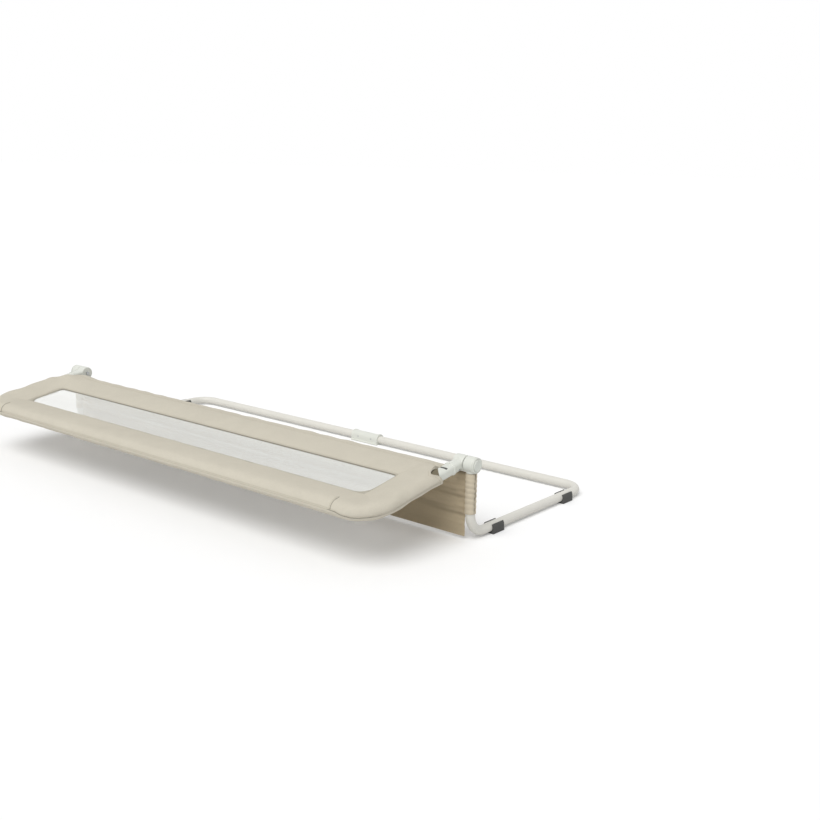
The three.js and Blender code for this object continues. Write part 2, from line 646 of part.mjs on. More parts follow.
// The whole arm before it is parted into two shells: hub, rim and the socket of the leg.
function wholeArm() {
  const half = ARM_WIDTH / 2;
  const added = [
    barrel(HUB_RADIUS, MOVING_START_X, MOVING_END_X, HUB_EDGE),
    extruded(roundedRectangle(ARM_WIDTH, ARM_THICKNESS, ARM_CORNER), ARM_LENGTH, ALONG_OUT, LEG_X),
    extruded(roundedRectangle(ARM_WIDTH + 2 * ARM_RIM_RISE, ARM_THICKNESS + 2 * ARM_RIM_RISE,
      ARM_CORNER + ARM_RIM_RISE), ARM_RIM_LENGTH, ALONG_OUT, LEG_X, -ARM_RIM_OUT),
  ];
  const boss = rod(ARM_SCREW_BOSS_RADIUS, LEG_X - half, LEG_X + half, HUB_SIDES, AXIS_X,
    0, -ARM_SCREW_OUT, -ARM_SCREW_DROP);
  const coreLength = SOCKET_OUT - CORE_WALL - CORE_OUT;
  const core = box(ARM_WIDTH - 2 * CORE_WALL, coreLength, ARM_THICKNESS - 2 * CORE_WALL,
    LEG_X, -CORE_OUT - coreLength / 2, 0);
  const cavity = RING_RADIUS + RUN;
  const cutters = [
    rod(cavity, MOVING_START_X + MOVING_WALL, MOVING_END_X + OVERRUN, HUB_SIDES, AXIS_X),
    rod(BOLT_RADIUS + RUN, MOVING_START_X - OVERRUN, MOVING_END_X, PIN_SIDES, AXIS_X),
    rod(GUARD_TUBE_RADIUS + FIT, SOCKET_OUT, ARM_LENGTH + OVERRUN, TUBE_SIDES, AXIS_OUT, LEG_X),
    box(SLOT_WIDTH, SLOT_LENGTH, SLOT_DEPTH, LEG_X, -SLOT_OUT, ARM_THICKNESS / 2),
    geometryOf(solid(core).subtract(solid(boss))),
    rod(ARM_SCREW_RADIUS + FIT, LEG_X - half + CORE_WALL, LEG_X + half + OVERRUN, PIN_SIDES, AXIS_X,
      0, -ARM_SCREW_OUT, -ARM_SCREW_DROP),
    rod(ARM_SCREW_HEAD_RADIUS + FIT, LEG_X + half - ARM_SCREW_HEAD_HEIGHT, LEG_X + half + OVERRUN, PIN_SIDES,
      AXIS_X, 0, -ARM_SCREW_OUT, -ARM_SCREW_DROP),
  ];
  for (let k = 0; k < SPLINE_COUNT; k += 1) {
    cutters.push(sectorPocket(DOG_INNER, SPLINE_RADIUS, 2 * Math.PI * k / SPLINE_COUNT, SPLINE_ANGLE,
      MOVING_START_X + MOVING_WALL, MOVING_END_X + OVERRUN));
  }
  return solid(made(added, cutters));
}

// The arm is moulded as two shells, which meet in the plane of the leg's axis.
function armShells() {
  const whole = wholeArm();
  const [depth, height] = [ARM_LENGTH + HUB_RADIUS + OVERRUN, 2 * (HUB_RADIUS + OVERRUN)];
  const half = (sign) => solid(box(ARM_WIDTH, 2 * depth, height, LEG_X + sign * (ARM_WIDTH + FIT) / 2, 0, 0));
  return { inner: geometryOf(whole.intersect(half(-1))), outer: geometryOf(whole.intersect(half(1))) };
}

function armScrew() {
  const face = LEG_X + ARM_WIDTH / 2 - ARM_SCREW_HEAD_HEIGHT + FIT;
  return made([
    rod(ARM_SCREW_HEAD_RADIUS, face, face + ARM_SCREW_HEAD_HEIGHT - FIT, PIN_SIDES, AXIS_X,
      0, -ARM_SCREW_OUT, -ARM_SCREW_DROP),
    rod(ARM_SCREW_RADIUS, face - ARM_SCREW_LENGTH, face + ARM_SCREW_HEAD_HEIGHT / 2, PIN_SIDES, AXIS_X,
      0, -ARM_SCREW_OUT, -ARM_SCREW_DROP),
  ]);
}

// Leg, bend and a short run of the top, with a swaged end that plugs into the top tube.
function cornerTube() {
  const inner = GUARD_TUBE_RADIUS - GUARD_TUBE_WALL;
  const line = bentLine([
    new THREE.Vector3(LEG_X, -SOCKET_OUT - FIT, 0),
    new THREE.Vector3(LEG_X, -GUARD_REACH, 0),
    new THREE.Vector3(TOP_TUBE_HALF + FIT, -GUARD_REACH, 0),
  ], GUARD_BEND_RADIUS, GUARD_BEND_STEPS);
  const swage = inner - FIT;
  const root = TOP_TUBE_HALF + FIT;
  const end = turned([
    [swage - GUARD_TUBE_WALL, root - SWAGE_LENGTH], [swage, root - SWAGE_LENGTH], [swage, root],
    [inner + GUARD_TUBE_WALL / 2, root], [inner + GUARD_TUBE_WALL / 2, root + SWAGE_ROOT],
    [swage - GUARD_TUBE_WALL, root + SWAGE_ROOT], [swage - GUARD_TUBE_WALL, root - SWAGE_LENGTH],
  ], TUBE_SIDES, AXIS_X, 0, -GUARD_REACH);
  return made([swept(GUARD_TUBE_RADIUS, inner, TUBE_SIDES, line), end]);
}

function topTube() {
  return closed(ring(GUARD_TUBE_RADIUS - GUARD_TUBE_WALL, GUARD_TUBE_RADIUS,
    -TOP_TUBE_HALF, TOP_TUBE_HALF, TUBE_SIDES, AXIS_X, 0, -GUARD_REACH));
}

// The window's outline, widened by a margin: far corners rounder than the near ones.
function windowPath(margin) {
  const half = WINDOW_HALF + margin;
  const [near, far] = [WINDOW_NEAR - margin, WINDOW_FAR + margin];
  const [nearCorner, farCorner] = [WINDOW_NEAR_CORNER + margin, WINDOW_FAR_CORNER + margin];
  const path = new THREE.Path();
  path.absarc(half - nearCorner, -near - nearCorner, nearCorner, 0, Math.PI / 2);
  path.absarc(nearCorner - half, -near - nearCorner, nearCorner, Math.PI / 2, Math.PI);
  path.absarc(farCorner - half, farCorner - far, farCorner, Math.PI, Math.PI * 3 / 2);
  path.absarc(half - farCorner, farCorner - far, farCorner, Math.PI * 3 / 2, Math.PI * 2);
  return path;
}

// The guard's line: out along one leg, over the top and back along the other.
function guardLine() {
  return bentLine([
    new THREE.Vector3(LEG_X, -MOUTH_OUT, 0),
    new THREE.Vector3(LEG_X, -GUARD_REACH, 0),
    new THREE.Vector3(-LEG_X, -GUARD_REACH, 0),
    new THREE.Vector3(-LEG_X, -MOUTH_OUT, 0),
  ], GUARD_BEND_RADIUS, GUARD_BEND_STEPS);
}

// The padding's section: round the tube, then straight down to the flat panel's thickness.
function paddingSection() {
  const edge = COVER_THICKNESS / 2;
  const taper = GUARD_BEND_RADIUS - TAPER_END;
  const lean = Math.asin(PAD_RADIUS / Math.hypot(edge, taper)) - Math.atan(edge / taper);
  const round = Array.from({ length: PADDING_STEPS + 1 }, (_, k) => {
    const angle = -lean + (Math.PI + 2 * lean) * k / PADDING_STEPS;
    return new THREE.Vector2(PAD_RADIUS * Math.cos(angle), PAD_RADIUS * Math.sin(angle));
  });
  return [new THREE.Vector2(edge, -taper), ...round, new THREE.Vector2(-edge, -taper)];
}

// The padded cover: fabric taut over the padded tube, and softly rounded flat panels round the net window.
function guardCover() {
  const end = LEG_X - COVER_END_INSET;
  const notch = COVER_NOTCH_CORNER;
  const panel = new THREE.Shape();
  panel.moveTo(-end, -COVER_NEAR);
  panel.lineTo(-end, -MOUTH_OUT);
  panel.lineTo(-LEG_X, -MOUTH_OUT - notch);
  panel.lineTo(-LEG_X, GUARD_BEND_RADIUS - GUARD_REACH);
  panel.absarc(GUARD_BEND_RADIUS - LEG_X, GUARD_BEND_RADIUS - GUARD_REACH, GUARD_BEND_RADIUS,
    Math.PI, Math.PI * 3 / 2);
  panel.absarc(LEG_X - GUARD_BEND_RADIUS, GUARD_BEND_RADIUS - GUARD_REACH, GUARD_BEND_RADIUS,
    Math.PI * 3 / 2, Math.PI * 2);
  panel.lineTo(LEG_X, -MOUTH_OUT - notch);
  panel.lineTo(end, -MOUTH_OUT);
  panel.lineTo(end, -COVER_NEAR);
  panel.holes.push(windowPath(0));
  const flat = new THREE.ExtrudeGeometry(panel, {
    depth: COVER_THICKNESS - 2 * COVER_ROUND,
    bevelThickness: COVER_ROUND,
    bevelSize: COVER_ROUND_WIDTH,
    bevelOffset: -COVER_ROUND_WIDTH,
    bevelSegments: 2,
    curveSegments: CORNER_STEPS,
  }).translate(0, 0, COVER_ROUND - COVER_THICKNESS / 2);
  const line = guardLine();
  const mouth = Math.hypot(ARM_WIDTH / 2 - ARM_CORNER, ARM_THICKNESS / 2 - ARM_CORNER) + ARM_CORNER;
  const grooveThickness = NET_THICKNESS + 2 * FIT;
  const groove = new THREE.Shape(windowPath(NET_TUCK + FIT).getPoints(CORNER_STEPS));
  const cutters = [
    swept(GUARD_TUBE_RADIUS + FIT, 0, TUBE_SIDES, line),
    new THREE.ExtrudeGeometry(groove, { depth: grooveThickness, bevelEnabled: false })
      .translate(0, 0, -grooveThickness / 2),
    ...[-1, 1].map((sign) => rod(mouth + MOUTH_CLEARANCE, MOUTH_OUT - OVERRUN, ARM_LENGTH + OVERRUN,
      HUB_SIDES, AXIS_OUT, sign * LEG_X)),
  ];
  return made([flat, sweptShape(new THREE.Shape(paddingSection()), line)], cutters);
}

// The net: staggered rows of diamond gaps between crossing strands.
function meshWindow() {
  const net = new THREE.Shape(windowPath(NET_TUCK).getPoints(CORNER_STEPS));
  const pitch = (2 * WINDOW_HALF - WINDOW_FAR_CORNER) / NET_COLUMNS;
  const rise = (WINDOW_FAR - WINDOW_NEAR) / (NET_ROWS + 1);
  const halfWidth = (pitch - STRAND_WIDTH) / 2;
  const halfHeight = rise - STRAND_WIDTH;
  for (let row = 0; row < NET_ROWS; row += 1) {
    const stagger = row % 2;
    for (let column = 0; column < NET_COLUMNS - stagger; column += 1) {
      const x = pitch * (column + stagger / 2 - (NET_COLUMNS - 1) / 2);
      const y = -WINDOW_NEAR - rise * (row + 1);
      net.holes.push(new THREE.Path([
        new THREE.Vector2(x - halfWidth, y), new THREE.Vector2(x, y - halfHeight),
        new THREE.Vector2(x + halfWidth, y), new THREE.Vector2(x, y + halfHeight),
      ]));
    }
  }
  return closed(new THREE.ExtrudeGeometry(net, { depth: NET_THICKNESS, bevelEnabled: false })
    .translate(0, 0, -NET_THICKNESS / 2));
}

// The fabric sleeve round the upright, slack and pushed into rings.
function uprightSleeve() {
  const top = TUBE_TOP - FIT;
  const bottom = TUBE_HEIGHT + BASE_BEND_RADIUS - HINGE_HEIGHT;
  const inner = BASE_TUBE_RADIUS + FIT;
  const outer = inner + SLEEVE_THICKNESS;
  const skin = Array.from({ length: SLEEVE_RINGS + 1 }, (_, k) => {
    const share = k / SLEEVE_RINGS;
    const ripple = SLEEVE_RIPPLE * Math.sin(2 * Math.PI * SLEEVE_RIPPLES * share * (1 + share / 4));
    return [outer + ripple, bottom + (top - bottom) * share];
  });
  return closed(turned([[inner, bottom], ...skin, [inner, top], [inner, bottom]],
    TUBE_SIDES, AXIS_Z, UPRIGHT_X));
}

// The skirt hangs slack between the sleeves, in soft folds that run along the rail.
function coverSkirt() {
  const half = UPRIGHT_X - BASE_TUBE_RADIUS - SLEEVE_THICKNESS - SLEEVE_RIPPLE - 3 * FIT;
  const top = TUBE_TOP - FIT;
  const bottom = SKIRT_LIFT - HINGE_HEIGHT;
  return clothSheet(8, 18, SKIRT_THICKNESS, (u, v) => {
    const drift = Math.sin(Math.PI * 2 * u) / 2;
    const fold = Math.sin(2 * Math.PI * SKIRT_FOLDS * v + drift) * Math.sin(Math.PI * v);
    return new THREE.Vector3(half * (2 * u - 1), SKIRT_FOLD * fold, top + (bottom - top) * v);
  });
}

// The flap joins the skirt's upper edge to the cover's near edge and hangs slack while the guard is down.
function hingeFlap() {
  const half = LEG_X - COVER_END_INSET - OVERRUN;
  const start = new THREE.Vector3(0, -SKIRT_THICKNESS - FIT, TUBE_TOP - FLAP_THICKNESS);
  const end = new THREE.Vector3(0, -COVER_NEAR + FIT, -COVER_ROUND)
    .applyAxisAngle(new THREE.Vector3(1, 0, 0), REST_TILT);
  const low = start.clone().lerp(end, 1 / 2).add(new THREE.Vector3(0, 0, -2 * FLAP_SAG));
  const droop = new THREE.QuadraticBezierCurve3(start, low, end);
  return clothSheet(24, 5, FLAP_THICKNESS, (u, v) => {
    const ripple = FLAP_RIPPLE * Math.sin(2 * Math.PI * FLAP_RIPPLES * u) * Math.sin(Math.PI * v);
    return droop.getPoint(v).add(new THREE.Vector3(half * (2 * u - 1), ripple, ripple));
  });
}

// The pieces that come in a pair. The left ones are the right ones mirrored.
function addSide(rail, guard, name, sign) {
  const fixed = new THREE.Group();
  const moving = new THREE.Group();
  fixed.scale.x = sign;
  moving.scale.x = sign;
  fixed.position.z = HINGE_HEIGHT;
  rail.add(fixed);
  guard.add(moving);
  addPiece(fixed, `base_tube_${name}`, baseTube(), PAINTED_STEEL);
  const rear = TUBE_HEIGHT - HINGE_HEIGHT;
  const pads = { front: BASE_BEND_RADIUS + PAD_LENGTH, rear: BASE_REACH - BASE_BEND_RADIUS - PAD_LENGTH };
  for (const [place, y] of Object.entries(pads)) {
    addPiece(fixed, `foot_pad_${place}_${name}`, footPad().translate(UPRIGHT_X, y, rear), PAD_RUBBER);
  }
  const couplerPin = BASE_TUBE_RADIUS + COUPLER_WALL;
  addPiece(fixed, `coupler_pin_${name}`,
    closed(crossPin(couplerPin, COUPLER_LENGTH / 4, BASE_REACH, rear)), ZINC);
  addPiece(fixed, `hinge_bracket_${name}`, hingeBracket(), WHITE_PLASTIC);
  addPiece(fixed, `bracket_pin_${name}`,
    closed(crossPin(BASE_TUBE_RADIUS - FIT, UPRIGHT_X, 0, TUBE_TOP - PIN_DEPTH)), ZINC);
  addPiece(fixed, `hub_bezel_${name}`, hubBezel(), WHITE_PLASTIC);
  addPiece(fixed, `lock_button_${name}`, lockButton(), BUTTON_PLASTIC);
  addPiece(fixed, `button_spring_${name}`, closed(coilSpring(`button_spring_${name}`,
    FACE_X + FACE_WALL, BUTTON_FACE_X - BUTTON_ROOF)), SPRING_STEEL);
  addPiece(fixed, `pivot_bolt_${name}`, pivotBolt(), ZINC);
  addPiece(fixed, `pivot_nut_${name}`, pivotNut(), ZINC);
  addPiece(fixed, `upright_sleeve_${name}`, uprightSleeve(), BEIGE_FABRIC);
  const shells = armShells();
  addPiece(moving, `arm_shell_inner_${name}`, shells.inner, WHITE_PLASTIC);
  addPiece(moving, `arm_shell_outer_${name}`, shells.outer, WHITE_PLASTIC);
  addPiece(moving, `arm_screw_${name}`, armScrew(), ZINC);
  addPiece(moving, `lock_ring_${name}`, lockRing(), LOCK_PLASTIC);
  addPiece(moving, `lock_spring_${name}`, closed(coilSpring(`lock_spring_${name}`,
    MOVING_START_X + MOVING_WALL, RING_BACK_X)), SPRING_STEEL);
  addPiece(moving, `corner_tube_${name}`, cornerTube(), PAINTED_STEEL);
}

function bedGuardRail() {
  const rail = new THREE.Group();
  const guard = new THREE.Group();
  guard.position.z = HINGE_HEIGHT;
  guard.rotation.x = REST_TILT;
  rail.add(guard);
  addSide(rail, guard, 'left', -1);
  addSide(rail, guard, 'right', 1);
  const coupler = rearCoupler().translate(0, BASE_REACH, TUBE_HEIGHT);
  addPiece(rail, 'rear_coupler', coupler, WHITE_PLASTIC);
  addPiece(rail, 'cover_skirt', coverSkirt().translate(0, 0, HINGE_HEIGHT), SHADE_FABRIC);
  addPiece(rail, 'hinge_flap', hingeFlap().translate(0, 0, HINGE_HEIGHT), BEIGE_FABRIC);
  addPiece(guard, 'top_tube', topTube(), PAINTED_STEEL);
  addPiece(guard, 'guard_cover', guardCover(), BEIGE_FABRIC);
  addPiece(guard, 'mesh_window', meshWindow(), NET_FABRIC);
  return rail;
}

const model = bedGuardRail();
const footprint = new THREE.Box3().setFromObject(model, true);
model.position.y = -(footprint.min.y + footprint.max.y) / 2;

export default model;
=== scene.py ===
"""The folding bed guard rail: soft goods, moulded hinges and steel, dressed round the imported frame.

Shapes are worked out in millimetres in one of two frames, and end in metres in the row's frame:
- the hinge frame has its origin on the hinge axis, X along the rail, Y into the bed and Z up;
- the guard frame has X along the rail, "out" from the hinge axis to the padded edge, and "up" off the
  guard's face.
"""
import json
import logging
import math
from dataclasses import dataclass
from enum import Enum
from typing import Callable, Sequence

import bmesh
import bpy
import numpy as np
from mathutils import Matrix, Vector
from mathutils.bvhtree import BVHTree


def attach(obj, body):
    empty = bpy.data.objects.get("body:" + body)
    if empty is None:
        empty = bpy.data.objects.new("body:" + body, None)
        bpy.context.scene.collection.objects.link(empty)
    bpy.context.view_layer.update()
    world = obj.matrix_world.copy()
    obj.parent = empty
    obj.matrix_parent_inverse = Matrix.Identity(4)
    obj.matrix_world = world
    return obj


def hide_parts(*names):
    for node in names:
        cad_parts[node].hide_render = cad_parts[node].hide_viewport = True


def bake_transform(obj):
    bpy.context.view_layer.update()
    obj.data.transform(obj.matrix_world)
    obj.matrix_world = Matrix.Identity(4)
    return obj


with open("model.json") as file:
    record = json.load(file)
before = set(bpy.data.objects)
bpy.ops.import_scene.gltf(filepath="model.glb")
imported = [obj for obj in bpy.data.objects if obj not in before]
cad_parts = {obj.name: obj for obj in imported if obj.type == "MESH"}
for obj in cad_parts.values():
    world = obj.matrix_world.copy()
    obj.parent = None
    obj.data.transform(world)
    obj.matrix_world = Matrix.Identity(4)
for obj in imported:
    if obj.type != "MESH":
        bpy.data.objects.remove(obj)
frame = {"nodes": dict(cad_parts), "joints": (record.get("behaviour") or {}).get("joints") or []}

log = logging.getLogger("guard_rail")
Array = np.ndarray

MM = 0.001
GUARD_FOLD = next(joint for joint in frame["joints"] if joint["name"] == "guard_fold")
HINGE_Y, HINGE_Z = (1000 * value for value in GUARD_FOLD["pos_m"][1:])
REST_TILT = math.radians(9.2)  # how far the folded guard stops below level
REST_COS, REST_SIN = math.cos(REST_TILT), math.sin(REST_TILT)
FULL_TURN = 2 * math.pi
SHARP_ANGLE = math.radians(38)  # rigid pieces keep a crease where faces meet at more than this
UPWARD = np.array([0.0, 0.0, 1.0])
CLOTH_MAP = "cloth"  # the map that woven patterns follow
PAINTED_SHADE = "soil"  # the attribute of painted shade: how much darker the cloth is drawn in seams, folds and hollows


class Body(Enum):
    """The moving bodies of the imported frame."""

    BASE = "base"
    GUARD = "guard"
    BUTTON_LEFT = "button_left"
    BUTTON_RIGHT = "button_right"


class Side(Enum):
    """The two ends of the rail, with the sign of X there."""

    LEFT = -1
    RIGHT = 1

    @property
    def word(self) -> str:
        """The word that names of pieces end in."""
        return self.name.lower()


# ---------------------------------------------------------------- frames and small formulas

def in_metres(points: Array) -> Array:
    """The same points in metres instead of millimetres."""
    return points * MM


def from_hinge(points: Array) -> Array:
    """Row frame, in metres, of hinge frame points in millimetres: a shift by the hinge's place."""
    return (np.asarray(points, float) + (0.0, HINGE_Y, HINGE_Z)) * MM


def from_guard(points: Array) -> Array:
    """Row frame, in metres, of guard frame points (x, out, up), turned down by the folded guard's tilt."""
    x, out, up = np.moveaxis(np.asarray(points, float), -1, 0)
    return from_hinge(np.stack([x, -out * REST_COS - up * REST_SIN, up * REST_COS - out * REST_SIN], axis=-1))


def to_guard(points: Array) -> Array:
    """Guard frame (x, out, up) in millimetres of row frame points in metres: from_guard turned back."""
    x, y, z = np.moveaxis(np.asarray(points, float) / MM - (0.0, HINGE_Y, HINGE_Z), -1, 0)
    return np.stack([x, -y * REST_COS - z * REST_SIN, z * REST_COS - y * REST_SIN], axis=-1)


def distances(points: Array, line: Array, share: int = 8000) -> Array:
    """Each point's distance to the nearest point of a line, worked out in shares to spare memory."""
    line = line.astype(np.float32)
    parts = [np.linalg.norm(part[:, None].astype(np.float32) - line[None], axis=-1).min(axis=1)
             for part in np.array_split(points, 1 + len(points) // share)]
    return np.concatenate(parts)


def lengths(line: Array, axis: int = 0) -> Array:
    """How far along its line each point lies, for one line or for the lines of a grid along an axis."""
    steps = np.linalg.norm(np.diff(line, axis=axis), axis=-1)
    return np.concatenate([np.zeros_like(steps.take([0], axis=axis)), np.cumsum(steps, axis=axis)], axis=axis)


def sampled(line: Array, stations: Array, places: Array) -> Array:
    """Points between those of a line, which lie at the given stations: straight from one to the next."""
    return np.stack([np.interp(places, stations, part) for part in line.T], axis=1)


def even(points: Array, step: float, closed: bool = False) -> Array:
    """The line's points at equal steps of its length, as near to the asked step as fits."""
    line = np.concatenate([points, points[:1]]) if closed else points
    stations = lengths(line)
    count = max(2, round(stations[-1] / step))
    return sampled(line, stations, np.linspace(0.0, stations[-1], count + 1)[:count if closed else None])


def smooth(value: Array) -> Array:
    """Smooth step: 3 v^2 - 2 v^3, with v held between 0 and 1."""
    held = np.clip(value, 0.0, 1.0)
    return held * held * (3.0 - 2.0 * held)


def unit(vector: Array) -> Array:
    """The vector at length one."""
    return vector / np.linalg.norm(vector, axis=-1, keepdims=True)


def waves(u: Array, v: Array, seed: int, low: Sequence[float], high: Sequence[float],
          count: int = 14) -> Array:
    """Soft noise: a sum of sines sin(2 pi (f u + g v) + phase) with seeded random f, g and phases.

    Args:
        u: First coordinate.
        v: Second coordinate.
        seed: Seed of the random draws.
        low: Lowest frequencies along u and v.
        high: Highest frequencies along u and v.
        count: How many sines are added.

    Returns:
        Values of about unit spread, shaped like u.
    """
    draws = np.random.default_rng(seed)
    along = draws.uniform(low[0], high[0], count) * draws.choice([-1.0, 1.0], count)
    across = draws.uniform(low[1], high[1], count)
    phase = draws.uniform(0.0, FULL_TURN, count)
    angle = FULL_TURN * (u[..., None] * along + v[..., None] * across) + phase
    return np.sin(angle).sum(axis=-1) * math.sqrt(2.0 / count)


def filleted(corners: Sequence[Sequence[float]], radii: Sequence[float], steps: int = 6) -> Array:
    """A polyline whose corners are rounded: each gives way to an arc that touches both of its sides.

    Args:
        corners: The (a, b) corners, first and last kept as they are.
        radii: One radius for each corner, 0 where it stays sharp.
        steps: Chords in each arc.

    Returns:
        The rounded polyline's points, one (a, b) a row.
    """
    points = np.asarray(corners, float)
    made = [points[:1]]
    for before, corner, after, radius in zip(points, points[1:], points[2:], radii[1:]):
        if radius == 0:
            made.append(corner[None])
            continue
        back, ahead = unit(before - corner), unit(after - corner)
        half = math.acos(float(np.clip(back @ ahead, -1.0, 1.0))) / 2
        centre = corner + unit(back + ahead) * radius / math.sin(half)
        start = corner + back * radius / math.tan(half) - centre
        end = corner + ahead * radius / math.tan(half) - centre
        sweep = math.pi - 2 * half
        share = np.linspace(0.0, 1.0, steps + 1)[:, None]
        arc = (np.sin((1 - share) * sweep) * start + np.sin(share * sweep) * end) / math.sin(sweep)
        made.append(centre + arc)
    made.append(points[-1:])
    return np.concatenate(made)


def arc_points(centre: Sequence[float], radius: float, start: float, end: float, steps: int) -> Array:
    """Points of an arc: centre + radius (cos a, sin a), with a from start to end in radians."""
    angle = np.linspace(start, end, steps + 1)
    return np.stack([centre[0] + radius * np.cos(angle), centre[1] + radius * np.sin(angle)], axis=1)


def rounded_rectangle(width: float, height: float, corner: float, steps: int = 10) -> Array:
    """A rectangle about the origin whose corners are quarter circles."""
    x, y = width / 2 - corner, height / 2 - corner
    quarter = math.pi / 2
    spots = ((x, y), (-x, y), (-x, -y), (x, -y))
    return np.concatenate([
        arc_points(spot, corner, k * quarter, (k + 1) * quarter, steps) for k, spot in enumerate(spots)])


# ---------------------------------------------------------------- meshes

@dataclass
class Shell:
    """Corner points and faces of a surface that is still plain arrays."""

    points: Array
    faces: list[list[int]]

    def moved(self, place: Callable[[Array], Array]) -> "Shell":
        """The same faces on points that were put through place."""
        return Shell(place(self.points), self.faces)


def grid_shell(grid: Array, wrap_rows: bool = False, wrap_columns: bool = False) -> Shell:
    """Quads between neighbours of a grid of points, with either side closed where it is asked for."""
    rows, columns = grid.shape[:2]
    i, j = np.meshgrid(np.arange(rows if wrap_rows else rows - 1),
                       np.arange(columns if wrap_columns else columns - 1), indexing="ij")
    i, j = i.ravel(), j.ravel()
    down, right = (i + 1) % rows, (j + 1) % columns
    quads = np.stack([i * columns + j, down * columns + j, down * columns + right, i * columns + right],
                     axis=1)
    return Shell(grid.reshape(-1, 3), quads.tolist())


def rod_shell(rings: Array) -> Shell:
    """A closed surface of rings of points, each joined to the next and a cap at either end."""
    shell = grid_shell(rings, False, True)
    count, total = rings.shape[1], len(shell.points)
    shell.faces += [list(range(count)), list(range(total - 1, total - count - 1, -1))]
    return shell


def joined(shells: Sequence[Shell]) -> Shell:
    """Several surfaces in one, not merged."""
    starts = np.cumsum([0] + [len(shell.points) for shell in shells[:-1]])
    faces = [[start + corner for corner in face] for start, shell in zip(starts.tolist(), shells)
             for face in shell.faces]
    return Shell(np.concatenate([shell.points for shell in shells]), faces)


def turned(profile: Array, sides: int, axis: str = "x", centre: Sequence[float] = (0, 0, 0),
           closed: bool = False) -> Shell:
    """A revolved surface: a profile (radius, along) carried once round an axis.

    Args:
        profile: Rows of radius and place along the axis.
        sides: Steps of the turn.
        axis: "x", "y" or "z".
        centre: A point on the axis.
        closed: Whether the profile is a loop, as a ring's is.

    Returns:
        The surface, with doubled points where the radius is nought.
    """
    angle = np.linspace(0.0, FULL_TURN, sides, endpoint=False)
    radius, along = profile[:, :1], profile[:, 1:] * np.ones(sides)
    a, b = radius * np.cos(angle), radius * np.sin(angle)
    order = {"x": (along, a, b), "y": (b, along, a), "z": (a, b, along)}[axis]
    return grid_shell(np.stack(order, axis=-1) + np.asarray(centre, float), closed, True)


def extruded(outline: Array, start: float, end: float, axis: str,
             centre: Sequence[float] = (0, 0, 0)) -> Shell:
    """A prism: an outline carried straight along an axis, with a cap at either end.

    Args:
        outline: Closed loop of (a, b), which are (y, z) along "x", (x, z) along "y" and (x, y) along "z".
        start: Where the prism starts along the axis.
        end: Where it ends.
        axis: "x", "y" or "z".
        centre: Where the outline's origin lies.

    Returns:
        The closed prism.
    """
    a, b = (outline[:, k] * np.ones((2, 1)) for k in (0, 1))
    along = np.array([[start], [end]]) * np.ones(len(outline))
    order = {"x": (along, a, b), "y": (a, along, b), "z": (a, b, along)}[axis]
    return rod_shell(np.stack(order, axis=-1) + np.asarray(centre, float))


def rod(radius: float, start: float, end: float, axis: str, centre: Sequence[float] = (0, 0, 0),
        sides: int = 32) -> Shell:
    """A plain cylinder, to cut or to join."""
    profile = np.array([[0, start], [radius, start], [radius, end], [0, end]], float)
    return turned(profile, sides, axis, centre)


@dataclass
class Path:
    """A line through space with, at each station, its heading and a side vector that doesn't twist."""

    points: Array
    headings: Array
    sides: Array


def bent_path(corners: Sequence[Sequence[float]], radius: float, steps: int, side: Sequence[float]) -> Path:
    """Straight runs joined by round bends.

    A bend's points are start + r sin(a) heading + r (1 - cos a) inward, and its side vector is turned about
    the bend's axis by the same angle a.

    Args:
        corners: Where the straight runs would meet.
        radius: Radius of every bend.
        steps: Chords in each bend.
        side: A vector across the first run.

    Returns:
        The path's stations.
    """
    spots = np.asarray(corners, float)
    runs = unit(np.diff(spots, axis=0))
    side = np.asarray(side, float)
    points, headings, sides = [spots[:1]], [runs[:1]], [side[None]]
    for corner, before, after in zip(spots[1:], runs, runs[1:]):
        turn = math.acos(float(before @ after))
        inward = unit(after - before * float(before @ after))
        axis = np.cross(before, inward)
        angle = np.linspace(0.0, turn, steps + 1)[:, None]
        start = corner - before * radius * math.tan(turn / 2)
        points.append(start + radius * np.sin(angle) * before + radius * (1 - np.cos(angle)) * inward)
        headings.append(np.cos(angle) * before + np.sin(angle) * inward)
        swung = side * np.cos(angle) + np.cross(axis, side) * np.sin(angle)
        sides.append(swung + axis * float(axis @ side) * (1 - np.cos(angle)))
        side = sides[-1][-1]
    points.append(spots[-1:])
    headings.append(runs[-1:])
    sides.append(side[None])
    return Path(*(np.concatenate(part) for part in (points, headings, sides)))


def carried(path: Path, section: Array) -> Array:
    """A section carried along a path: point + a side + b (heading x side), for each of its (a, b)."""
    second = np.cross(path.headings, path.sides)
    return (path.points[:, None] + section[None, :, :1] * path.sides[:, None]
            + section[None, :, 1:] * second[:, None])


def ring_section(radius: float, sides: int) -> Array:
    """A circle's points, without the last that would repeat the first."""
    return arc_points((0, 0), radius, 0.0, FULL_TURN, sides)[:-1]


def pipe(path: Path, outer: float, inner: float, sides: int) -> Shell:
    """A hollow tube: the outer skin along the path and the inner skin back again, as one closed surface."""
    skins = [carried(path, ring_section(outer, sides)), carried(path, ring_section(inner, sides))[::-1]]
    return grid_shell(np.concatenate(skins), True, True)


def around_loop(points: Array) -> Array:
    """From each point's forerunner to its follower, round a closed line."""
    return np.roll(points, -1, axis=0) - np.roll(points, 1, axis=0)


def laid_path(points: Array, normal: Array, closed: bool = False) -> Path:
    """A line's stations on a surface, with side vectors across its heading and along the surface."""
    headings = unit(around_loop(points) if closed else np.gradient(points, axis=0))
    return Path(points, headings, unit(np.cross(headings, normal)))


def linked(name: str, data: bpy.types.ID) -> bpy.types.Object:
    """A new object in the scene with the given mesh, lamp or camera."""
    obj = bpy.data.objects.new(name, data)
    bpy.context.scene.collection.objects.link(obj)
    return obj


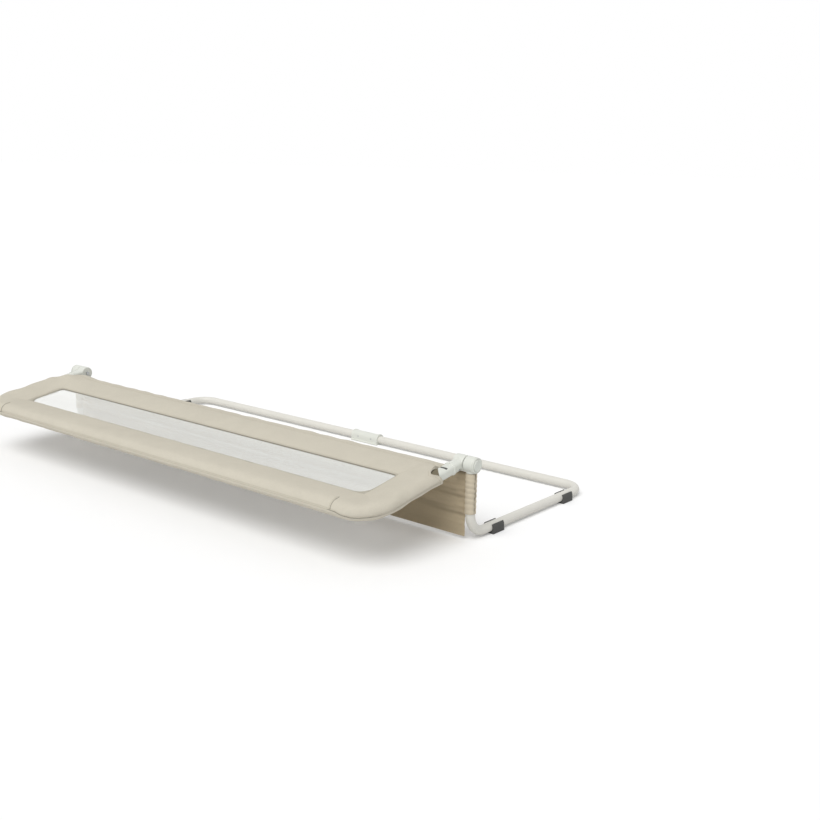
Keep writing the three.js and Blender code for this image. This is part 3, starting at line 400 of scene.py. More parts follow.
def new_object(name: str, shell: Shell, merge: float = 1e-6) -> bpy.types.Object:
    """An object in the scene made from a surface in metres, with doubles merged and faces turned outward."""
    mesh = bpy.data.meshes.new(name)
    mesh.from_pydata(shell.points, [], shell.faces)
    work = bmesh.new()
    work.from_mesh(mesh)
    bmesh.ops.remove_doubles(work, verts=work.verts, dist=merge)
    bmesh.ops.recalc_face_normals(work, faces=work.faces)
    work.to_mesh(mesh)
    work.free()
    return linked(name, mesh)


def keep_result(obj: bpy.types.Object) -> None:
    """Put what the object's modifiers give into its mesh, and take the modifiers off."""
    bpy.context.view_layer.update()
    graph = bpy.context.evaluated_depsgraph_get()
    mesh = bpy.data.meshes.new_from_object(obj.evaluated_get(graph))
    obj.modifiers.clear()
    old, obj.data = obj.data, mesh
    mesh.name = obj.name
    bpy.data.meshes.remove(old)


def refine(obj: bpy.types.Object, kind: str, **settings: object) -> None:
    """Finish an object with one modifier of the given settings."""
    modifier = obj.modifiers.new(kind.lower(), kind)
    for key, value in settings.items():
        setattr(modifier, key, value)
    keep_result(obj)


def thicken(obj: bpy.types.Object, thickness: float) -> None:
    """Give a sheet its thickness in millimetres, half to either side."""
    refine(obj, "SOLIDIFY", thickness=thickness * MM, offset=0.0)


def carve(obj: bpy.types.Object, *tools: Shell, operation: str = "DIFFERENCE",
          move: Callable[[Array], Array] = in_metres) -> None:
    """Cut, join or intersect an object with closed surfaces, one by one, once they are moved to its frame."""
    for tool in tools:
        cutter = new_object(f"{obj.name}_tool", tool.moved(move))
        refine(obj, "BOOLEAN", operation=operation, solver="EXACT", object=cutter)
        bpy.data.objects.remove(cutter)


def smooth_shade(obj: bpy.types.Object, angle: float = SHARP_ANGLE) -> None:
    """Shade smooth, with creases kept sharp where faces meet at more than the angle."""
    mesh = obj.data
    mesh.polygons.foreach_set("use_smooth", np.ones(len(mesh.polygons), bool))
    mesh.set_sharp_from_angle(angle=angle)


def corners_of(obj: bpy.types.Object) -> Array:
    """The mesh's points, one a row, in metres."""
    flat = np.empty(3 * len(obj.data.vertices), np.float32)
    obj.data.vertices.foreach_get("co", flat)
    return flat.reshape(-1, 3).astype(float)


def move_corners(obj: bpy.types.Object, points: Array) -> None:
    """Put the mesh's points at new places, in metres."""
    obj.data.vertices.foreach_set("co", points.astype(np.float32).ravel())
    obj.data.update()


def mirrored_copy(obj: bpy.types.Object, name: str) -> bpy.types.Object:
    """A new object of the other side: X changes sign and the faces turn round."""
    mesh = obj.data.copy()
    mesh.name = name
    mesh.transform(Matrix.Diagonal((-1.0, 1.0, 1.0, 1.0)))
    mesh.flip_normals()
    return linked(name, mesh)


def moulded(name: str, shells: Sequence[Shell], voxel: float, rounds: int) -> bpy.types.Object:
    """Closed surfaces melted into one by a voxel remesh and softened as a moulding is, in millimetres."""
    obj = new_object(name, joined(shells).moved(in_metres))
    refine(obj, "REMESH", mode="VOXEL", voxel_size=voxel * MM)
    refine(obj, "SMOOTH", factor=0.5, iterations=rounds)
    return obj


def place(obj: bpy.types.Object, frame_of: Callable[[Array], Array]) -> None:
    """Move the mesh from its own frame into the row's, and turn its faces where that frame mirrors."""
    move_corners(obj, frame_of(corners_of(obj) / MM))
    if np.linalg.det(frame_of(np.eye(3)) - frame_of(np.zeros((1, 3)))) < 0:
        obj.data.flip_normals()


# ---------------------------------------------------------------- finishes

Socket = bpy.types.NodeSocket
Color = tuple[float, float, float, float]
WHITE: Color = (1.0, 1.0, 1.0, 1.0)


@dataclass(frozen=True)
class Pattern:
    """A pattern that several finishes share, as a node group with named sockets.

    Its inputs each have a default value, and None makes one a vector. Its build function adds the nodes,
    from the input sockets to the output sockets.
    """

    name: str
    inputs: dict[str, float | None]
    outputs: tuple[str, ...]
    build: Callable[["Graph", dict[str, Socket]], dict[str, Socket]]

    def tree(self) -> bpy.types.NodeTree:
        """The node group, built when it is first asked for."""
        if self.name in bpy.data.node_groups:
            return bpy.data.node_groups[self.name]
        tree = bpy.data.node_groups.new(self.name, "ShaderNodeTree")
        graph = Graph(tree)
        for key, value in self.inputs.items():
            kind = "NodeSocketVector" if value is None else "NodeSocketFloat"
            socket = tree.interface.new_socket(name=key, in_out="INPUT", socket_type=kind)
            if value is not None:
                socket.default_value = value
        for key in self.outputs:
            tree.interface.new_socket(name=key, in_out="OUTPUT", socket_type="NodeSocketFloat")
        source = graph.add("NodeGroupInput")
        result = self.build(graph, {socket.name: socket for socket in source.outputs if socket.name})
        graph.add("NodeGroupOutput", **{f"in{k}": result[key] for k, key in enumerate(self.outputs)})
        return tree


class Graph:
    """Adds nodes to a tree and links them by their sockets' names."""

    def __init__(self, tree: bpy.types.NodeTree) -> None:
        """Start from an empty tree."""
        self.tree = tree
        tree.nodes.clear()

    def feed(self, node: bpy.types.Node, **inputs: object) -> None:
        """Fill a node's inputs.

        Args:
            node: The node.
            inputs: A socket to link from, or a value, for each input; in1 is the second one.
        """
        for key, value in inputs.items():
            counted = key.startswith("in") and key[2:].isdigit()
            socket = node.inputs[int(key[2:]) if counted else key.replace("_", " ")]
            if isinstance(value, Socket):
                self.tree.links.new(value, socket)
            else:
                socket.default_value = value

    def add(self, kind: str, settings: dict[str, object] | None = None, **inputs: object) -> bpy.types.Node:
        """A new node.

        Args:
            kind: The node's type, without its "ShaderNode" prefix where it has one.
            settings: Properties of the node itself.
            inputs: What feed puts into its inputs.

        Returns:
            The node.
        """
        node = self.tree.nodes.new(kind if kind.startswith("NodeGroup") else f"ShaderNode{kind}")
        for key, value in (settings or {}).items():
            setattr(node, key, value)
        self.feed(node, **inputs)
        return node

    def pattern(self, pattern: Pattern, **inputs: object) -> dict[str, Socket]:
        """The outputs of a shared pattern, which is placed with the given inputs."""
        node = self.add("Group", {"node_tree": pattern.tree()}, **inputs)
        return {socket.name: socket for socket in node.outputs}

    def math(self, operation: str, first: object, second: object = 0.0, third: object = 0.0) -> Socket:
        """The result of a math node."""
        return self.add("Math", {"operation": operation}, in0=first, in1=second, in2=third).outputs[0]

    def mix(self, share: object, first: object, second: object) -> Socket:
        """Two colours mixed by a share."""
        return self.add("Mix", {"data_type": "RGBA"}, in0=share, in6=first, in7=second).outputs[2]

    def noise(self, vector: Socket, scale: object, detail: float = 2.0, rough: float = 0.5) -> Socket:
        """Noise between 0 and 1."""
        return self.add("TexNoise", Vector=vector, Scale=scale, Detail=detail, Roughness=rough).outputs["Fac"]

    def mapped(self, vector: Socket, **inputs: object) -> Socket:
        """A vector that is scaled, turned or shifted by a mapping node."""
        return self.add("Mapping", Vector=vector, **inputs).outputs[0]

    def bump(self, height: Socket, distance: float, strength: float) -> Socket:
        """The normals that a height gives."""
        return self.add("Bump", Strength=strength, Distance=distance, Height=height).outputs[0]

    def cloth_map(self) -> Socket:
        """The piece's own map, in metres of cloth."""
        return self.add("UVMap", {"uv_map": CLOTH_MAP}).outputs[0]

    def space(self) -> Socket:
        """The place on the object, in metres."""
        return self.add("TexCoord").outputs["Object"]


def build_weave(graph: Graph, given: dict[str, Socket]) -> dict[str, Socket]:
    """Plain weave: threads rise as |sin|, along one way in even cells and along the other in odd ones."""
    split = graph.add("SeparateXYZ", Vector=given["Vector"])
    over = [graph.math("DIVIDE", split.outputs[k], given["Pitch"]) for k in (0, 1)]
    bump = [graph.math("ABSOLUTE", graph.math("SINE", graph.math("MULTIPLY", value, math.pi)))
            for value in over]
    cells = [graph.math("FLOOR", value) for value in over]
    odd = graph.math("PINGPONG", graph.math("ADD", cells[0], cells[1]), 1.0)
    height = graph.add("Mix", {"data_type": "FLOAT"}, in0=odd, in2=bump[0], in3=bump[1]).outputs[0]
    slubs = [graph.noise(graph.mapped(given["Vector"], Scale=scale), 1.0)
             for scale in ((90.0, 1400.0, 1.0), (1400.0, 90.0, 1.0))]
    threads = graph.math("ADD", slubs[0], slubs[1])
    return {"Height": graph.math("MULTIPLY_ADD", threads, 0.5, height),
            "Thread": graph.math("SUBTRACT", threads, 1.0)}


def build_mottle(graph: Graph, given: dict[str, Socket]) -> dict[str, Socket]:
    """Broad soft blotches about nought: two noises of different size."""
    broad = graph.noise(given["Vector"], given["Scale"], 3.0)
    fine = graph.noise(given["Vector"], graph.math("MULTIPLY", given["Scale"], 5.3))
    both = graph.math("MULTIPLY_ADD", fine, 0.4, graph.math("MULTIPLY", broad, 0.6))
    return {"Spread": graph.math("SUBTRACT", both, 0.5)}


def build_grain(graph: Graph, given: dict[str, Socket]) -> dict[str, Socket]:
    """Fine spark-eroded grain of a mould: rounded cells with a little noise, and faint handling marks."""
    cells = graph.add("TexVoronoi", {"feature": "SMOOTH_F1"}, Vector=given["Vector"], Scale=given["Scale"],
                      Smoothness=0.6)
    rough = graph.noise(given["Vector"], given["Scale"], 3.0)
    height = graph.math("MULTIPLY_ADD", rough, 0.5, cells.outputs["Distance"])
    marks = graph.mapped(given["Vector"], Scale=(40.0, 260.0, 70.0), Rotation=(0.3, 0.5, 0.9))
    return {"Height": height, "Marks": graph.math("GREATER_THAN", graph.noise(marks, 1.0, 4.0, 0.7), 0.68)}


def build_net(graph: Graph, given: dict[str, Socket]) -> dict[str, Socket]:
    """Knitted net: round gaps on a staggered grid, between strands of thread.

    The height is the distance to the nearest point of two lattices, the second half a pitch along and across,
    less the gap's radius.
    """
    split = graph.add("SeparateXYZ", Vector=given["Vector"])
    reaches = []
    for offset in (0.0, 0.5):
        total = 0.0
        for axis, stretch in ((0, 1.0), (1, 0.6)):
            pitch = graph.math("MULTIPLY", given["Pitch"], stretch)
            cell = graph.math("ADD", graph.math("DIVIDE", split.outputs[axis], pitch), offset)
            part = graph.math("MULTIPLY", graph.math("SUBTRACT", graph.math("FRACT", cell), 0.5), stretch)
            total = graph.math("MULTIPLY_ADD", part, part, total)
        reaches.append(graph.math("SQRT", total))
    near = graph.math("MINIMUM", reaches[0], reaches[1])
    return {"Strand": graph.math("GREATER_THAN", near, given["Gap"]),
            "Height": graph.math("SUBTRACT", near, given["Gap"])}


WEAVE = Pattern("woven_cloth", {"Vector": None, "Pitch": 0.0006}, ("Height", "Thread"), build_weave)
MOTTLE = Pattern("soft_mottle", {"Vector": None, "Scale": 6.0}, ("Spread",), build_mottle)
GRAIN = Pattern("moulded_grain", {"Vector": None, "Scale": 1400.0}, ("Height", "Marks"), build_grain)
NET = Pattern("knitted_net", {"Vector": None, "Pitch": 0.0026, "Gap": 0.26}, ("Strand", "Height"), build_net)


def shade(color: Color, factor: float) -> Color:
    """The colour times a factor, with full alpha."""
    return tuple(min(1.0, factor * value) for value in color[:3]) + (1.0,)


def linear(red: int, green: int, blue: int) -> Color:
    """A colour written as it is seen, from 0 to 255, in the linear values that a shader takes."""
    seen = np.array([red, green, blue]) / 255.0
    values = np.where(seen <= 0.04045, seen / 12.92, ((seen + 0.055) / 1.055) ** 2.4)
    return tuple(values.tolist()) + (1.0,)


@dataclass(frozen=True)
class Finish:
    """What every finish has: a name, its colour and how rough and blotchy it is."""

    name: str
    color: Color
    rough: float = 0.5
    blotch: float = 0.5

    def surface(self, graph: Graph) -> dict[str, object]:
        """What goes into the shader's inputs, by their names."""
        raise NotImplementedError

    def make(self) -> bpy.types.Material:
        """Build the material: one shader, fed with the finish's surface."""
        material = bpy.data.materials.new(self.name)
        material.use_nodes = True
        graph = Graph(material.node_tree)
        shader = graph.add("BsdfPrincipled")
        graph.add("OutputMaterial", Surface=shader.outputs["BSDF"])
        graph.feed(shader, **self.surface(graph))
        return material

    def spread(self, graph: Graph, vector: Socket, scale: float, extra: Socket | None = None) -> Socket:
        """The colour, lighter and darker by the mottle's spread and by an extra value."""
        mottle = graph.pattern(MOTTLE, Vector=vector, Scale=scale)
        level = graph.math("MULTIPLY_ADD", mottle["Spread"], self.blotch, 0.5)
        if extra is not None:
            level = graph.math("ADD", level, extra)
        return graph.mix(level, shade(self.color, 0.8), shade(self.color, 1.2))


@dataclass(frozen=True)
class ClothFinish(Finish):
    """Woven cloth, on the piece's own map in metres."""

    rough: float = 0.9
    pitch: float = 0.0007
    depth: float = 0.00012
    fuzz: float = 0.25

    def surface(self, graph: Graph) -> dict[str, object]:
        """Weave with slubs, blotches over the piece, painted shade from the stored attribute, and a little
        fuzz that catches light.
        """
        space = graph.space()
        weave = graph.pattern(WEAVE, Vector=graph.cloth_map(), Pitch=self.pitch)
        color = self.spread(graph, space, 5.0, graph.math("MULTIPLY", weave["Thread"], 0.35))
        # painted shade: the colour goes towards 0.4 of itself where the stored shade is high
        dark = graph.add("Attribute", {"attribute_name": PAINTED_SHADE}).outputs["Fac"]
        return dict(Base_Color=graph.mix(dark, color, shade(self.color, 0.4)),
                    Normal=graph.bump(weave["Height"], self.depth, 0.5), Roughness=self.rough,
                    Sheen_Weight=self.fuzz, Sheen_Roughness=0.5, Sheen_Tint=shade(self.color, 1.3),
                    Specular_IOR_Level=0.2)


@dataclass(frozen=True)
class NetFinish(Finish):
    """See-through knitted net, on the piece's own map in metres."""

    rough: float = 0.7
    blotch: float = 0.9
    pitch: float = 0.0026
    gap: float = 0.17
    depth: float = 0.0003

    def surface(self, graph: Graph) -> dict[str, object]:
        """Strands with clear gaps between, and long faint streaks along the window."""
        cloth = graph.cloth_map()
        net = graph.pattern(NET, Vector=cloth, Pitch=self.pitch, Gap=self.gap)
        lengthwise = graph.mapped(cloth, Scale=(0.06, 2.4, 1.0), Location=(0.3, 0.27, 0.0))
        return dict(Base_Color=self.spread(graph, lengthwise, 4.0), Alpha=net["Strand"],
                    Normal=graph.bump(net["Height"], self.depth, 0.6), Roughness=self.rough,
                    Specular_IOR_Level=0.3)


@dataclass(frozen=True)
class PlasticFinish(Finish):
    """Moulded plastic or rubber with fine grain and faint handling marks."""

    rough: float = 0.38
    blotch: float = 0.25
    grain: float = 1500.0
    depth: float = 0.00003

    def surface(self, graph: Graph) -> dict[str, object]:
        """Grain in the normals, and marks that are darker and rougher."""
        space = graph.space()
        grain = graph.pattern(GRAIN, Vector=space, Scale=self.grain)
        marks = graph.math("MULTIPLY", grain["Marks"], -0.08)
        return dict(Base_Color=self.spread(graph, space, 14.0, marks),
                    Roughness=graph.math("MULTIPLY_ADD", grain["Marks"], 0.12, self.rough),
                    Normal=graph.bump(grain["Height"], self.depth, 0.35))


@dataclass(frozen=True)
class MetalFinish(Finish):
    """Bare or painted metal: a brushed or peeled skin, with rougher rubbed places."""

    rough: float = 0.35
    blotch: float = 0.3
    metal: float = 1.0
    peel: float = 900.0
    depth: float = 0.00002

    def surface(self, graph: Graph) -> dict[str, object]:
        """Peel in the normals, and rubbed spots where a broad noise is high."""
        space = graph.space()
        wear = graph.noise(space, 60.0, 5.0, 0.65)
        rubbed = graph.math("MULTIPLY", graph.math("GREATER_THAN", wear, 0.66), 0.15)
        return dict(Base_Color=self.spread(graph, space, 10.0),
                    Roughness=graph.math("ADD", rubbed, self.rough), Metallic=self.metal,
                    Normal=graph.bump(graph.noise(space, self.peel), self.depth, 0.4))


COVER_CLOTH = ClothFinish("cover_cloth", linear(202, 196, 181))
BAND_CLOTH = ClothFinish("edge_band_cloth", linear(196, 190, 174), blotch=0.3)
# painted shade: the cuff's dark colour stands for the shade in the mouths' hollows
CUFF_PAINTED_SHADE = ClothFinish("cuff_cloth", linear(128, 120, 100), blotch=0.3)
SLEEVE_CLOTH = ClothFinish("sleeve_cloth", linear(199, 188, 167), blotch=0.4)
SKIRT_CLOTH = ClothFinish("skirt_cloth", linear(184, 169, 143), blotch=0.6)
SEAM_THREAD = ClothFinish("seam_thread", linear(176, 166, 148), pitch=0.0004)
NET_CLOTH = NetFinish("net_cloth", linear(236, 237, 232))
HINGE_PLASTIC = PlasticFinish("hinge_plastic_white", linear(217, 219, 211))
BUTTON_PLASTIC = PlasticFinish("button_plastic_pale", linear(214, 217, 209), rough=0.33)
LOCK_PLASTIC = PlasticFinish("lock_plastic_grey", linear(142, 144, 146), rough=0.5)
PAD_RUBBER = PlasticFinish("pad_rubber_dark", linear(76, 76, 74), rough=0.8, grain=900.0, depth=0.00006)
TUBE_PAINT = MetalFinish("tube_powder_coat", linear(218, 216, 208), rough=0.42, metal=0.0, depth=0.00005)
ZINC = MetalFinish("zinc_plate", linear(182, 184, 186), rough=0.32, peel=2600.0)
SPRING_STEEL = MetalFinish("spring_wire", linear(150, 152, 154), rough=0.28, peel=3000.0)


class Wardrobe:
    """Makes each finish's material once and gives it to pieces."""

    def __init__(self) -> None:
        """Start with no material made."""
        self.made: dict[str, bpy.types.Material] = {}

    def material(self, finish: Finish) -> bpy.types.Material:
        """The finish's material, made when it is first asked for."""
        if finish.name not in self.made:
            self.made[finish.name] = finish.make()
        return self.made[finish.name]

    def give(self, obj: bpy.types.Object, finish: Finish) -> None:
        """Dress an object in a finish."""
        obj.data.materials.clear()
        obj.data.materials.append(self.material(finish))

    def give_node(self, name: str, finish: Finish) -> None:
        """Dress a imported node, whose mesh stays as it is."""
        for slot in frame["nodes"][name].material_slots:
            slot.material = self.material(finish)


WARDROBE = Wardrobe()


def add_piece(obj: bpy.types.Object, body: Body, finish: Finish, slot: str, nodes: Sequence[str] = (),
              sharp: float = SHARP_ANGLE) -> None:
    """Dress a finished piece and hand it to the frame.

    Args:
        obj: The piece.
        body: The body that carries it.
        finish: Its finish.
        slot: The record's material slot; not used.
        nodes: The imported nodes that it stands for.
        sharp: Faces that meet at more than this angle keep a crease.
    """
    smooth_shade(obj, sharp)
    WARDROBE.give(obj, finish)
    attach(obj, body.value)
    if nodes:
        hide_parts(*nodes)
    log.info("%s: %d faces on %s", obj.name, len(obj.data.polygons), body.value)


def add_pair(obj: bpy.types.Object, body: Body, finish: Finish, slot: str, node: str | None = None) -> None:
    """Hand over a piece of the right side, and its mirror image for the left.

    Args:
        obj: The piece, whose name holds the word "right".
        body: The body that carries it.
        finish: Its finish.
        slot: The record's material slot.
        node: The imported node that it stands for, without its side, if there is one.
    """
    other = mirrored_copy(obj, obj.name.replace("_right", "_left"))
    other_body = Body.BUTTON_LEFT if body is Body.BUTTON_RIGHT else body
    for piece, carrier, side in ((obj, body, Side.RIGHT), (other, other_body, Side.LEFT)):
        add_piece(piece, carrier, finish, slot, [f"{node}_{side.word}"] if node else ())


def map_cloth(obj: bpy.types.Object, flat: Array) -> None:
    """Give the mesh its cloth map, from one (a, b) in metres for each point, in a row or in a grid."""
    mesh = obj.data
    layer = mesh.uv_layers.new(name=CLOTH_MAP)
    corner = np.empty(len(mesh.loops), np.int32)
    mesh.loops.foreach_get("vertex_index", corner)
    layer.data.foreach_set("uv", flat.reshape(-1, 2)[corner].astype(np.float32).ravel())


def soil(obj: bpy.types.Object, amount: Array) -> None:
    """Store the painted shade at each point, from 0 to 1: how much darker the cloth is drawn where shade
    falls, as in seams, folds and hollows.
    """
    layer = obj.data.attributes.new(PAINTED_SHADE, "FLOAT", "POINT")
    layer.data.foreach_set("value", np.clip(amount, 0.0, 1.0).astype(np.float32))


# ---------------------------------------------------------------- the padded cover

class Skin:
    """A finished surface that trims and stitches are laid on."""

    def __init__(self, obj: bpy.types.Object) -> None:
        """Take the object's surface."""
        self.tree = BVHTree.FromObject(obj, bpy.context.evaluated_depsgraph_get())

    def land(self, starts: Array, towards: Array) -> tuple[Array, Array]:
        """Where rays meet the surface, or its nearest place where they miss.

        Args:
            starts: Points to start from, in metres.
            towards: Directions, one for each start.

        Returns:
            The places and the surface's normals there.
        """
        found = []
        for start, direction in zip(starts, towards):
            hit = self.tree.ray_cast(Vector(start), Vector(direction))
            found.append(hit if hit[0] is not None else self.tree.find_nearest(Vector(start)))
        return np.array([hit[0][:] for hit in found]), np.array([hit[1][:] for hit in found])


def stitches(points: Array, normals: Array, length: float, radius: float, sides: int = 6) -> Shell:
    """A row of stitches: one small rounded rod for each step of a line, along it and half sunk in the cloth.

    Args:
        points: Evenly spaced places along the seam, in metres.
        normals: The cloth's normals there.
        length: A stitch's length in millimetres.
        radius: Its radius in millimetres.
        sides: Faces round it.

    Returns:
        All the stitches in one surface.
    """
    heading = unit(points[1:] - points[:-1])
    middle, up = (points[1:] + points[:-1]) / 2, unit(normals[1:] + normals[:-1])
    side = unit(np.cross(heading, up))
    along = np.array([-0.5, -0.42, 0.42, 0.5]) * length * MM
    thick = np.array([0.25, 1.0, 1.0, 0.25]) * radius * MM
    angle = np.linspace(0.0, FULL_TURN, sides, endpoint=False)[:, None]
    around = np.cos(angle) * side[:, None] + np.sin(angle) * up[:, None]
    rods = (middle[:, None, None] + (along[:, None] * heading[:, None])[:, :, None]
            + thick[:, None, None] * around[:, None])
    return joined([rod_shell(rings) for rings in rods])


@dataclass
class GuardCover:
    """The padded cover: cloth taut over the padded tube and over flat panels round the window.

    Its skin is one closed loop of sections. The loop runs round the window, and each section runs from the
    window's edge over the top to the outer edge and back underneath. Sizes are in the guard frame, in
    millimetres.
    """

    leg_x: float = 704.9
    reach: float = 309.0
    bend: float = 65.0
    roll: float = 19.0
    window_half: float = 628.0
    window_near: float = 126.0
    window_far: float = 234.0
    near_corner: float = 12.0
    far_corner: float = 30.0
    near_edge: float = 40.0
    panel_end: float = 682.6
    panel_corner: float = 6.0
    wall_inner: float = 58.0
    wall_outer: float = 68.0
    wall_corner: float = 3.0
    edge_height: float = 3.0
    hem_height: float = 3.2
    taper_swell: float = 1.3
    band_swell: float = 2.0
    mouth: float = 95.0
    mouth_lean: float = 0.6
    mouth_slant: float = 2.5
    mouth_bulge: float = 10.0
    bore: float = 16.2
    tube_hole: float = 10.8
    sock_seam: float = 617.0
    raised_x: float = -672.0
    raised_by: float = 7.5
    raised_width: float = 40.0
    hollow: tuple[float, float, float, float] = (40.0, 128.0, 144.0, 168.0)  # start, taper's ends, end
    piping: tuple[float, float] = (1.3, 2.6)
    binding: tuple[float, float] = (1.5, 3.1)
    hem_cord: tuple[float, float] = (1.7, 1.5)
    welt: float = 0.75
    arm_section: tuple[float, float, float] = (26.0, 24.0, 8.0)
    cuff_run: tuple[float, float] = (79.4, 134.0)
    cuff_gaps: tuple[float, float] = (0.95, 0.35)
    seam_depth: float = 1.3
    seam_width: float = 3.0
    swell_pressure: float = 4.0
    swell_cap: float = 2.2
    swell_frames: int = 16
    face_rows: int = 13
    wall_rows: int = 16
    near_steps: int = 96
    corner_steps: int = 6
    end_steps: int = 5
    arm_steps: int = 10
    leg_steps: int = 28
    bend_steps: int = 20
    top_steps: int = 92

    def tube_distance(self, x: Array, out: Array) -> Array:
        """How far a point of the plan lies outside the tube's line: legs, round bends and top."""
        across, along = np.abs(x) - self.leg_x, out - self.reach
        bend_x, bend_out = across + self.bend, along + self.bend
        round_bend = np.hypot(np.maximum(bend_x, 0), np.maximum(bend_out, 0)) - self.bend
        return np.where((bend_x > 0) & (bend_out > 0), round_bend, np.maximum(across, along))

    def half_height(self, x: Array, out: Array) -> Array:
        """Half the cover's thickness over the plan.

        Round the tube it is that of a circle; inside, a straight taper touches the circle and ends at the
        window's edge, a little swollen; the near band is a flat panel, from which the padding rises towards
        the mouths.
        """
        distance = self.tube_distance(x, out)
        run = self.reach - self.window_far
        lean = math.asin(self.roll / math.hypot(self.edge_height, run)) - math.atan(self.edge_height / run)
        touch_at, touch = -self.roll * math.sin(lean), self.roll * math.cos(lean)
        share = np.clip((touch_at - distance) / (run + touch_at), 0.0, 1.0)
        taper = touch + (self.edge_height - touch) * share + self.taper_swell * np.sin(math.pi * share)
        circle = np.sqrt(np.maximum(self.roll ** 2 - distance ** 2, 0.0))
        padding = np.where(distance > touch_at, circle, taper)
        band = (out - self.near_edge) / (self.window_near - self.near_edge)
        panel = self.edge_height + self.band_swell * np.sin(math.pi * np.clip(band, 0.0, 1.0))
        return panel + (np.maximum(padding, panel) - panel) * smooth((out - 42.0) / 36.0)

    def half_loop(self) -> tuple[Array, Array, Array]:
        """The right half of the loop, from the middle of the near edge to the middle of the top.

        Returns:
            For each station the window's edge, the crest where the side wall starts, and the wall's outermost
            point, all (x, out).
        """
        hem, near, corner = self.hem_height, self.near_edge, self.panel_corner
        centre = np.array([self.panel_end - corner, near + corner])
        bend_at = np.array([self.leg_x - self.bend, self.reach - self.bend])
        near_at = np.array([self.window_half - self.near_corner, self.window_near + self.near_corner])
        far_at = np.array([self.window_half - self.far_corner, self.window_far - self.far_corner])
        right, side, outer = math.pi / 2, self.leg_x + self.roll, self.reach + self.roll
        crest_x, wall_end = self.panel_end - hem, self.wall_outer + 6
        end_out, leg_start = self.wall_inner - 3, near_at[1] + 3

        def run(steps: int, *curves: Sequence) -> tuple[Array, ...]:
            """Curves in equal steps without their last points: a line's ends, or an arc's four values."""
            drawn = (np.linspace(*curve, steps + 1) if len(curve) == 2 else arc_points(*curve, steps)
                     for curve in curves)
            return tuple(points[:-1] for points in drawn)

        # the three curves of each run: the window's edge, the crest and the outer edge
        near_run = run(self.near_steps, ([0, self.window_near], [near_at[0], self.window_near]),
                       ([0, near + hem], [centre[0], near + hem]), ([0, near], [centre[0], near]))
        panel_corner = run(self.corner_steps, (near_at, self.near_corner, -right, -right * 0.7),
                           (centre, corner - hem, -right, 0), (centre, corner, -right, 0))
        panel_end = run(self.end_steps, (near_at, self.near_corner, -right * 0.7, -right * 0.45),
                        ([crest_x, centre[1]], [crest_x, self.wall_inner - 1]),
                        ([self.panel_end, centre[1]], [self.panel_end, end_out]))
        across_arm = run(self.arm_steps, (near_at, self.near_corner, -right * 0.45, 0),
                         ([crest_x, self.wall_inner], [self.leg_x, self.wall_outer]),
                         ([self.panel_end, end_out], [self.leg_x, self.wall_outer - 2]))
        outer_corner = run(self.arm_steps, ([self.window_half, near_at[1]], [self.window_half, leg_start]),
                           ([self.leg_x, self.wall_outer], [self.leg_x, wall_end]))
        outline = filleted([[self.leg_x, self.wall_outer - 2], [side, self.wall_outer], [side, wall_end]],
                           [0, self.wall_corner, 0], 5)
        stations = lengths(outline)
        outer_corner += (sampled(outline, stations, np.linspace(0, stations[-1], self.arm_steps + 1)[:-1]),)
        leg = run(self.leg_steps, ([self.window_half, leg_start], [self.window_half, far_at[1]]),
                  ([self.leg_x, wall_end], [self.leg_x, bend_at[1]]), ([side, wall_end], [side, bend_at[1]]))
        bend = run(self.bend_steps, (far_at, self.far_corner, 0, right), (bend_at, self.bend, 0, right),
                   (bend_at, self.bend + self.roll, 0, right))
        top = run(self.top_steps, ([far_at[0], self.window_far], [0, self.window_far]),
                  ([bend_at[0], self.reach], [0, self.reach]), ([bend_at[0], outer], [0, outer]))
        last = ([[0, self.window_far]], [[0, self.reach]], [[0, outer]])
        runs = (near_run, panel_corner, panel_end, across_arm, outer_corner, leg, bend, top, last)
        return tuple(np.concatenate(curves) for curves in zip(*runs))

    def loop(self) -> tuple[Array, Array, Array]:
        """The whole loop: the right half and its mirror image back to the start."""
        return tuple(np.concatenate([half, half[-2:0:-1] * (-1.0, 1.0)]) for half in self.half_loop())

    def skin(self) -> tuple[Array, Array]:
        """The skin as a grid of points, and its flat map in metres.

        A face point is window + (crest - window) r at the height of half_height there. A wall point is
        crest + (edge - crest) sin a at height cos a times the crest's height.

        Returns:
            The grid (stations, section points, 3) in the guard frame, and the grid's (a, b) map.
        """
        window, crest, edge = self.loop()
        share = np.linspace(0.0, 1.0, self.face_rows + 1)
        share = np.concatenate([[0.0, 0.025], share[1:]])
        plan = window[:, None] + (crest - window)[:, None] * share[None, :, None]
        height = self.half_height(plan[..., 0], plan[..., 1])
        angle = np.linspace(0.0, math.pi, self.wall_rows + 2)[1:-1]
        wall = crest[:, None] + (edge - crest)[:, None] * np.sin(angle)[None, :, None]
        flat = np.concatenate([plan, wall, plan[:, ::-1]], axis=1)
        up = np.concatenate([height, height[:, -1:] * np.cos(angle), -height[:, ::-1]], axis=1)
        grid = self.settle(np.concatenate([flat, up[..., None]], axis=-1))
        across = lengths(grid, axis=1)
        middle = crest + (edge - crest) / 2
        along = np.cumsum(np.linalg.norm(middle - np.roll(middle, 1, axis=0), axis=1))
        return grid, np.stack([along[:, None] * np.ones_like(across), across], axis=-1) * MM

    def corner_lift(self, x: Array, out: Array) -> Array:
        """How far the near corner at the left has come up.

        A bell over x that dies away towards the arm, times a fade with the distance out.
        """
        bell = np.exp(-((x - self.raised_x) / self.raised_width) ** 2) * smooth((x + 702.0) / 18.0)
        return self.raised_by * bell * smooth((112.0 - out) / 60.0)

